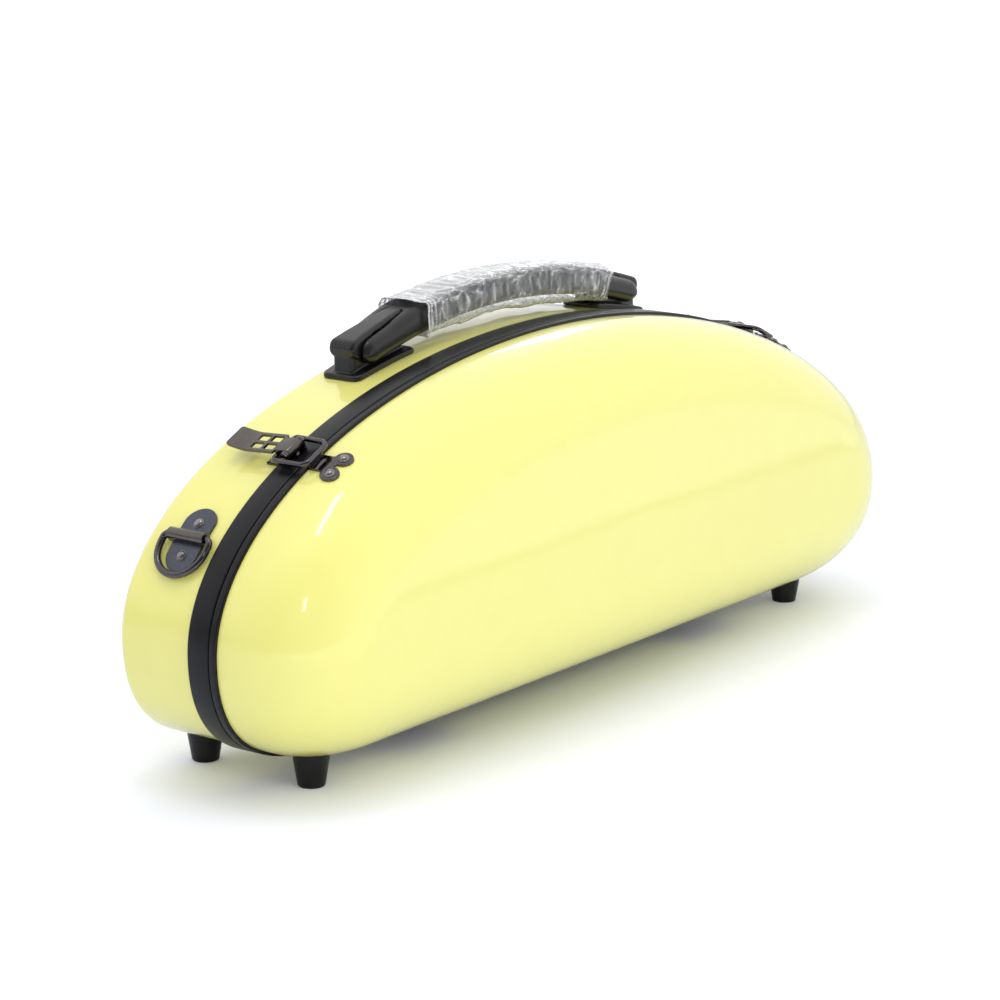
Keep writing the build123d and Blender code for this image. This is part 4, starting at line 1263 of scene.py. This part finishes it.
# %% Soft edges by remeshing
def softened(obj, voxel, rounds):
    """One even skin round the object, with its edges worn round."""
    remesh = obj.modifiers.new("skin", "REMESH")
    remesh.mode = "VOXEL"
    remesh.voxel_size = voxel * MM
    smooth = obj.modifiers.new("wear", "SMOOTH")
    smooth.iterations = rounds
    return frozen(obj, 180)


def swept_rings(name, rings):
    """A closed skin over rings of as many points each, in millimetres, with flat ends."""
    mesh = bpy.data.meshes.new(name)
    with editing(mesh) as shape:
        rows = [[shape.verts.new(Vector(p) * MM) for p in ring] for ring in rings]
        bridge(shape, rows)
        shape.faces.new(rows[0][::-1])
        shape.faces.new(rows[-1])
        bmesh.ops.recalc_face_normals(shape, faces=shape.faces)
    return new_object(name, mesh)


def combined(first, second, operation):
    """First with second added to it or cut from it."""
    step = first.modifiers.new("combine", "BOOLEAN")
    step.operation = operation
    step.solver = "EXACT"
    step.object = second
    result = frozen(first, 30)
    bpy.data.objects.remove(second)
    return result


# %% The handle's arc
handle_y = seam + 28.3
handle_top = foot_height + height + 18.5
nose_x = 94.0
nose_above_arch = 14.1
nose_drop = handle_top - nose_above_arch - arch_level(nose_x)
handle_radius = (nose_x**2 + nose_drop**2) / (2 * nose_drop)
handle_centre_z = handle_top - handle_radius
grip_thickness = 11.5
grip_width = 20.0
tongue_thickness = 7.4
handle_pin_x = 78.0
handle_pin_z = handle_centre_z + math.sqrt(handle_radius**2 - handle_pin_x**2) - tongue_thickness / 2


def on_handle(x, out, across):
    """A point above x on the handle's arc, moved out from it, and across it from the middle."""
    lean = math.asin(x / handle_radius)
    level = handle_radius + out
    return (level * math.sin(lean), handle_y + across, handle_centre_z + level * math.cos(lean))


def across_handle(x, section):
    """A section of points across and out, laid across the handle at x."""
    return [on_handle(x, out, across) for across, out in section]


print("handle bends at a radius of", round(handle_radius, 1), "mm")

# %% Grip
grip_end = 90.5
grip_steps = 110
grip_shoulder = 1.9     # the cheeks lie this much lower than the tongue between them
tongue_tip_half = 3.7
tongue_half = 6.25
tongue_length = 33.0
neck_half = 5.0


def grip_body():
    """The bent bar, its section drawn in to a rounded nose at each end."""
    rings = []
    for step in range(grip_steps + 1):
        x = -grip_end + 2 * grip_end * (0.5 - 0.5 * math.cos(math.pi * step / grip_steps))
        to_end = min(1, max(0.02, (grip_end - abs(x)) / 5.2))
        height_left = math.sqrt(to_end * (2 - to_end))
        belly = grip_shoulder * min(1, max(0, (abs(x) - 58) / 16))
        middle = -(grip_thickness + belly) / 2
        half_tall = (grip_thickness - belly) / 2 * height_left
        half_wide = grip_width / 2 - 1.6 + 1.6 * height_left
        corner = min(4.0, half_tall - 0.05)
        section = rounded_block(half_wide, middle - half_tall, middle + half_tall, corner, corner)
        rings.append(across_handle(x, section))
    return swept_rings("grip", rings)


def room_along(places, low, high):
    """A cutter along the handle, between two levels; its places are x and half the width there."""
    return swept_rings("room", [
        across_handle(x, [(-half, low), (half, low), (half, high), (-half, high)]) for x, half in places])


tongue_gap = 0.35
tongue_tip = nose_x - tongue_length
# The wedge clears the tongue and is open above; the slot clears the neck and is open below.
wedge = (
    (tongue_tip - tongue_gap, tongue_tip_half + tongue_gap), (nose_x, tongue_half + tongue_gap),
    (nose_x + 6, 7.4))
slot = [(x, neck_half + 0.6) for x in (61.4, 75, 85, nose_x + 6)]
grip = grip_body()
for side in (-1, 1):
    for places, low, high in (
            (wedge, -tongue_thickness - tongue_gap, 6), (slot, -24, -tongue_thickness + 1.6)):
        room = room_along([(side * x, half) for x, half in places], low, high)
        grip = combined(grip, room, "DIFFERENCE")
grip = softened(grip, 0.5, 5)
grip.name = "moulded_grip"
wear(grip, satin_abs, "base", "black_plastic", "handle_grip")

# %% Brackets
flange_length = 35.5
flange_half = 9.0
flange_thickness = 2.2
neck_length = 30.2


def tongue_body(side):
    """The tapering arm between the fork's cheeks, with a full rounded nose."""
    rings = []
    steps = 40
    for step in range(steps + 1):
        x = nose_x - tongue_length * (1 - step / steps) ** 1.6
        along = (x - nose_x + tongue_length) / tongue_length
        half = tongue_tip_half + (tongue_half - tongue_tip_half) * along
        nose = min(1, max(0, (x - nose_x + 3.2) / 3.2))
        draw = max(math.sqrt(1 - nose**2), 0.45)
        middle, half_tall = -tongue_thickness / 2, tongue_thickness / 2 * draw
        corner = min(1.4, half - 0.1, half_tall - 0.05)
        section = rounded_block(
            half - (1 - draw), middle - half_tall, middle + half_tall, corner, corner, 4)
        rings.append(across_handle(side * x, section))
    return swept_rings("tongue", rings)


def neck_body(side):
    """The post under the tongue, from the shell up into the tongue."""
    rings = []
    plan = rounded_block(neck_length / 2, -neck_half, neck_half, 2.0, 2.0, 4)
    middle_x = nose_x - 1.8 - neck_length / 2
    for share in (0, 1):
        ring = []
        for along, across in plan:
            x = side * (middle_x + along)
            rise = arch_level(x) + 0.6
            top = on_handle(x, -tongue_thickness + 1.2, 0)[2]
            ring.append((x, handle_y + across, rise + (top - rise) * share))
        rings.append(ring)
    return swept_rings("neck", rings)


def flange_body(side):
    """The thin foot of the bracket, laid on the arch."""
    plan = rounded_block(flange_length / 2, -flange_half, flange_half, 3.0, 3.0, 5)
    middle_x = nose_x - flange_length / 2
    skin = surface_of(base_skin)
    rings = []
    for level, inset in ((0.05, 0), (flange_thickness - 0.7, 0), (flange_thickness, 0.7)):
        ring = []
        for along, across in plan:
            along -= math.copysign(inset, along)
            across -= math.copysign(inset, across)
            x, y = side * (middle_x + along), handle_y + across
            start = Vector((x, y, height + 60)) * MM
            hit, normal = skin.ray_cast(start, Vector((0, 0, -1)))[:2]
            ring.append(hit / MM + normal * level)
        rings.append(ring)
    return cut_plate(swept_rings("flange", rings))


def cut_plate(obj):
    """Lays cuts along x over a swept plate, so that its flat ends can follow the arch."""
    skin = surface_of(base_skin)
    down = Vector((0, 0, -1))
    with editing(obj.data) as shape:
        caps = [face for face in shape.faces if len(face.verts) > 4]
        bmesh.ops.triangulate(shape, faces=caps)
        low = min(v.co.x for v in shape.verts)
        high = max(v.co.x for v in shape.verts)
        for i in range(1, 12):
            spot = Vector((low + (high - low) * i / 12, 0, 0))
            geometry = [*shape.verts, *shape.edges, *shape.faces]
            made = bmesh.ops.bisect_plane(
                shape, geom=geometry, plane_co=spot, plane_no=(1, 0, 0), dist=same_point)
            for vertex in [g for g in made["geom_cut"] if isinstance(g, bmesh.types.BMVert)]:
                facing = sum(face.normal.z for face in vertex.link_faces)
                level = flange_thickness if facing > 0 else 0.05
                hit, normal = skin.ray_cast(vertex.co - 60 * MM * down, down)[:2]
                if abs(facing) > 0.5:
                    vertex.co.z = hit.z + level * MM / normal.z
        bmesh.ops.recalc_face_normals(shape, faces=shape.faces)
    return obj


def pin_room(side):
    """The slot through the tongue for the pin that holds the grip."""
    x, z = side * handle_pin_x, handle_pin_z
    loop = arc_points((x + 1.0, z), 1.6, -90, 90, 8) + arc_points((x - 1.0, z), 1.6, 90, 270, 8)
    return swept_rings("pin_room", [[(px, handle_y + y, pz) for px, pz in loop] for y in (-12, 12)])


for name, side in side_names("handle_bracket"):
    bracket = combined(flange_body(side), neck_body(side), "UNION")
    bracket = combined(bracket, tongue_body(side), "UNION")
    bracket = combined(bracket, pin_room(side), "DIFFERENCE")
    bracket = softened(bracket, 0.4, 4)
    bracket.name = "cast" + name[6:]
    wear(bracket, satin_abs, "base", "black_plastic", name)

# %% Handle pins
def handle_pin(side):
    """A steel pin across the fork, its ends a little below the grip's cheeks."""
    mesh = turned([(0, -7), (1.2, -7), (1.5, -6.7), (1.5, 6.7), (1.2, 7), (0, 7)], 28)
    mesh.transform(Matrix.Rotation(math.radians(90), 4, "X"))
    mesh.transform(Matrix.Translation(Vector((side * handle_pin_x, handle_y, handle_pin_z)) * MM))
    return new_object("pin", mesh)


pins = joined_pieces("grip_pins", [handle_pin(side) for side in (-1, 1)])
wear(pins, bright_nickel, "base", "bright_steel", "handle_pins")

# %% [markdown]
# ## Packing film
#
# The grip is still wrapped in thin clear film, taped into a sleeve and crumpled by handling. Real
# film keeps its length when it creases: it folds into sharp ridges instead of stretching. A cloth
# simulation gives soft round folds, not this. So the sleeve starts as rings round the grip, and a
# ridged noise, the same in every run, pushes it out along narrow creases. The sleeve hangs a
# little below the grip, and both ends are gathered.

# %% Film sleeve
film_left = -56.0
film_right = 67.0
film_rows = 190
film_columns = 110
film_thickness = 0.08


def ridge(point, size, seed):
    """Sharp-crested noise from 0 to 1: high on thin lines, low between them."""
    value = noise.noise(Vector(point) / size + Vector((seed, seed * 1.7, seed * 0.6)))
    return max(0.0, 1 - abs(value) * 3.2)


def film_point(row, column):
    """A point of the sleeve, and how creased it is there."""
    share = row / film_rows
    turn = 2 * math.pi * column / film_columns
    x = film_left + (film_right - film_left) * share
    from_left = x - film_left
    from_right = film_right - x
    across = math.copysign(abs(math.cos(turn)) ** 0.42, math.cos(turn)) * (grip_width / 2 + 0.35)
    middle = -grip_thickness / 2
    out = middle + math.copysign(abs(math.sin(turn)) ** 0.42, math.sin(turn)) * (grip_thickness / 2 + 0.35)
    below = max(0.0, -math.sin(turn))
    hang = math.sin(math.pi * min(1, max(0, share))) ** 0.5
    sway = noise.noise(Vector((x / 19, 3.1, 0.4)))
    droop = (3.0 + 1.6 * sway) * hang
    out -= droop * below**1.5
    across *= 1 - 0.22 * hang * below**2
    long_folds = ridge((x * 0.32, turn * 3.4, 0), 1.5, 4.2)
    slant_folds = ridge((x * 0.16 + turn * 2.6, turn * 2.1 - x * 0.11, 1.0), 1.0, 9.1)
    small = ridge((x * 0.7, turn * 5.0, 2.0), 2.3, 1.7)
    gather = math.exp(-from_left / 7) + 0.8 * math.exp(-from_right / 5)
    rings = 0.5 + 0.5 * math.sin(x * 2.6 + 2.2 * math.sin(turn * 2 + 0.6))
    crease = 0.42 * long_folds + 0.5 * slant_folds**2 + 0.16 * small
    lift = 0.15 + 0.95 * crease + gather * (0.25 + 0.75 * rings)
    flare = 1.3 * math.exp(-from_left / 1.6) + 0.8 * math.exp(-from_right / 1.4)
    reach = lift * (1 - 0.45 * below) + flare * (0.6 + 0.4 * math.sin(turn * 5 + 1.0))
    away = Vector((across / (grip_width / 2), (out - middle) / (grip_thickness / 2)))
    away.normalize()
    slant = 1.1 * math.sin(turn * 3 + 0.5) * (math.exp(-from_left / 3) + math.exp(-from_right / 3))
    point = on_handle(x + slant, out + away.y * reach, across + away.x * reach)
    return point, min(1, crease * 0.9 * (1 - 0.4 * below) + gather * rings)


def film_sleeve():
    """The thin tube of film; where it is doubled on top, "overlap" rises to 1."""
    mesh = bpy.data.meshes.new("film_sleeve")
    with editing(mesh) as shape:
        creases = shape.verts.layers.float.new("crease")
        overlaps = shape.verts.layers.float.new("overlap")
        rows = []
        for row in range(film_rows + 1):
            ring = []
            for column in range(film_columns):
                point, crease = film_point(row, column)
                vertex = shape.verts.new(Vector(point) * MM)
                vertex[creases] = crease
                vertex[overlaps] = max(0.0, math.sin(2 * math.pi * column / film_columns)) ** 4
                ring.append(vertex)
            rows.append(ring)
        bridge(shape, rows)
        bmesh.ops.recalc_face_normals(shape, faces=shape.faces)
    obj = new_object("film_sleeve", mesh)
    wall = obj.modifiers.new("film", "SOLIDIFY")
    wall.thickness = film_thickness * MM
    wall.offset = 1
    return frozen(obj, 50)


clear_film, tree, shader = shader_for("clear_crumpled_polythene", Roughness=0.16, IOR=1.5)
place = add_node(tree, "ShaderNodeTexCoord")
fine = add_node(tree, "ShaderNodeTexNoise", {
    "Vector": place.outputs["Object"], "Scale": per_metre(5), "Detail": 6.0, "Roughness": 0.62})
veins = add_node(tree, "ShaderNodeMath", {0: fine.outputs["Fac"], 1: 0.5}, operation="SUBTRACT")
veins = add_node(tree, "ShaderNodeMath", {0: veins}, operation="ABSOLUTE")
veins = add_node(tree, "ShaderNodeMapRange", {
    "Value": veins, "From Min": 0.0, "From Max": 0.045, "To Min": 1.0, "To Max": 0.0})
creased, doubled = [
    add_node(tree, "ShaderNodeAttribute", attribute_name=name).outputs["Fac"]
    for name in ("crease", "overlap")]
edge_on = add_node(tree, "ShaderNodeLayerWeight", {"Blend": 0.5}).outputs["Facing"]
milky = creased
for factor in (veins, 0.4):
    milky = add_node(tree, "ShaderNodeMath", {0: milky, 1: factor}, operation="MULTIPLY")
for haze, operation, factor in (
        (creased, "POWER", 3.5), (doubled, "MULTIPLY", 0.42), (edge_on, "POWER", 3.0)):
    haze = add_node(tree, "ShaderNodeMath", {0: haze, 1: factor}, operation=operation)
    milky = add_node(tree, "ShaderNodeMath", {0: milky, 1: haze})
milky = add_node(tree, "ShaderNodeMapRange", {
    "Value": milky, "From Min": 0.0, "From Max": 1.0, "To Min": 0.05, "To Max": 0.9})
tree.links.new(milky.outputs[0], shader.inputs["Alpha"])
bump = add_node(tree, "ShaderNodeBump", {
    "Height": veins, "Distance": 0.12 * MM, "Strength": 1.0})
tree.links.new(bump.outputs[0], shader.inputs["Normal"])
tone = add_node(tree, "ShaderNodeValToRGB", {"Fac": creased})
tone.color_ramp.elements[0].color = linear("#dfe1e4")
tone.color_ramp.elements[1].color = linear("#f6f7f8")
tree.links.new(tone.outputs[0], shader.inputs["Base Color"])

film = film_sleeve()
wear(film, clear_film, "base", "clear_film", "grip_film")
film_area = sum(face.area for face in film.data.polygons) / 2
print("film area is", round(film_area * 1e6), "square mm")

# %% [markdown]
# ## Inside
#
# The base holds a block of foam under plush, with a pocket for each joint of the instrument, and
# the lid has a plush lining and a soft pad. The lining is one more thin wall that follows the lid,
# so the tree of the shells makes it, with a section further in.

# %% Lid lining
glue_gap = 0.9
lining_thickness = 1.4
lining_curve = moved_in(lid_crown, shell_wall + glue_gap)
lid_plush = swept("lid_plush_lining", -1, wall_rows(-1, lining_curve, 4.0, lining_thickness), plush)
wear(lid_plush, plush, "lid", "plush", "lid_lining")

# %% [markdown]
# The pad is a thin cushion glued to the lid's back. Its section is crowned in front and follows
# the lining behind, and a swept section closed at the middle gives both faces at once.

# %% Lid pad
pad_curve = moved_in(lid_crown, shell_wall + glue_gap + lining_thickness + 0.25)
pad_edge = 30.0
pad_thickness = 5.6
pad_back = [(inset, depth) for inset, depth in pad_curve if inset >= pad_edge]
pad_centre = pad_back[-1][1]
pad_front = pad_centre - pad_thickness


def pad_rows():
    """From the middle of the back, round the plump edge, to the middle of the crowned front."""
    rows = cap(pad_back, -1)[::-1] + [(inset, depth, 0) for inset, depth in reversed(pad_back)]
    inset, depth = pad_back[0]
    middle_depth = (depth + pad_front + 1.2) / 2
    half = depth - middle_depth
    for angle in range(20, 161, 20):
        turn = math.radians(angle)
        rows.append((inset - 2.2 * math.sin(turn), middle_depth + half * math.cos(turn), 0))
    rows += [(inset, pad_front + 1.2, 0), (inset + 2, pad_front + 0.75, 0)]
    rows += [(inset + 5, pad_front + 0.35, 0), (inset + 9, pad_front + 0.1, 0)]
    return rows + [(inset + 9, pad_front, (i + 1) / closing_steps) for i in range(closing_steps)]


lid_cushion = swept("lid_cushion", -1, pad_rows(), plush)
wear(lid_cushion, plush, "lid", "plush", "lid_pad")

# %% [markdown]
# The insert's pockets are in the engineering model already. What the foam adds is softness: the
# plush is pulled over the edges of the pockets, so every edge is round. A copy of the engineering
# solid is trimmed to the room inside the finished shell, and a coarse voxel skin rounds it all.

# %% Base insert
def merged_copy(node):
    """A closed copy of a CAD node, which itself is never changed."""
    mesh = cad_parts[node].data.copy()
    with editing(mesh) as shape:
        bmesh.ops.remove_doubles(shape, verts=shape.verts, dist=same_point)
    mesh.materials.clear()
    return new_object(node + "_copy", mesh)


def room_rows(curve, start):
    """A closed solid's section: out along its front, back over its crown."""
    rows = [(curve[-1][0], start, 1 - i / closing_steps) for i in range(closing_steps)]
    rows += [(curve[-1][0] * (1 - i / 8) + curve[0][0] * i / 8, start, 0) for i in range(9)]
    rows += [(curve[0][0], start + (curve[0][1] - start) * i / 4, 0) for i in range(1, 4)]
    return rows + [(inset, depth, 0) for inset, depth in curve] + cap(curve, 1)


room = swept("room", 1, room_rows(moved_in(base_crown, shell_wall + 0.7), 0.6), plush)
insert = combined(merged_copy("base_insert"), room, "INTERSECT")
insert = softened(insert, 1.6, 4)
insert.name = "fitted_insert"
wear(insert, plush, "base", "plush", "base_insert")

# %% [markdown]
# Two hinges are riveted under the case. Each is a flat leaf in the engineering model, but the lid
# already begins to curve up there, and a real leaf is pressed to the curve when its rivets are
# set. So the lid's leaves are bent copies, and everything else of the hinges stays as it is.

# %% Lid's hinge leaves
for name, side in side_names("hinge_leaf_lid"):
    leaf = merged_copy(name)
    for vertex in leaf.data.vertices:
        vertex.co.z += crown_drop(vertex.co.y / MM) * MM
    leaf.name = "pressed" + name[5:]
    leaf = frozen(leaf, 35)
    wear(leaf, black_nickel, "lid", "dark_nickel", name)

# %% [markdown]
# ## Fittings that keep their engineering shape
#
# Brackets, pins, hinges, screws and the lip are already right: what they need is the finish of
# their metal. The model's own objects stay where they are, and only their material is set.

# %% Finish of the remaining fittings
zinc_plated = plated("zinc_plated_steel", "#8f9092", "#a3a4a6", (0.26, 0.36))
finishes = {
    "hinge_leaf": black_nickel, "hinge_pins": bright_nickel, "hinge_rivets": bright_nickel,
    "latch_bracket_l": black_nickel, "latch_bracket_r": black_nickel, "latch_pin": bright_nickel,
    "base_foot_screws": zinc_plated, "lid_foot_screws": zinc_plated, "handle_screws": zinc_plated,
    "seam_lip": satin_aluminium,
}
for name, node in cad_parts.items():
    for start, material in finishes.items():
        if name.startswith(start) and not node.hide_render:
            node.data.materials.clear()
            node.data.materials.append(material)
left_over = [n for n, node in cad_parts.items() if not node.hide_render]
print("engineering nodes that show:", len(left_over))
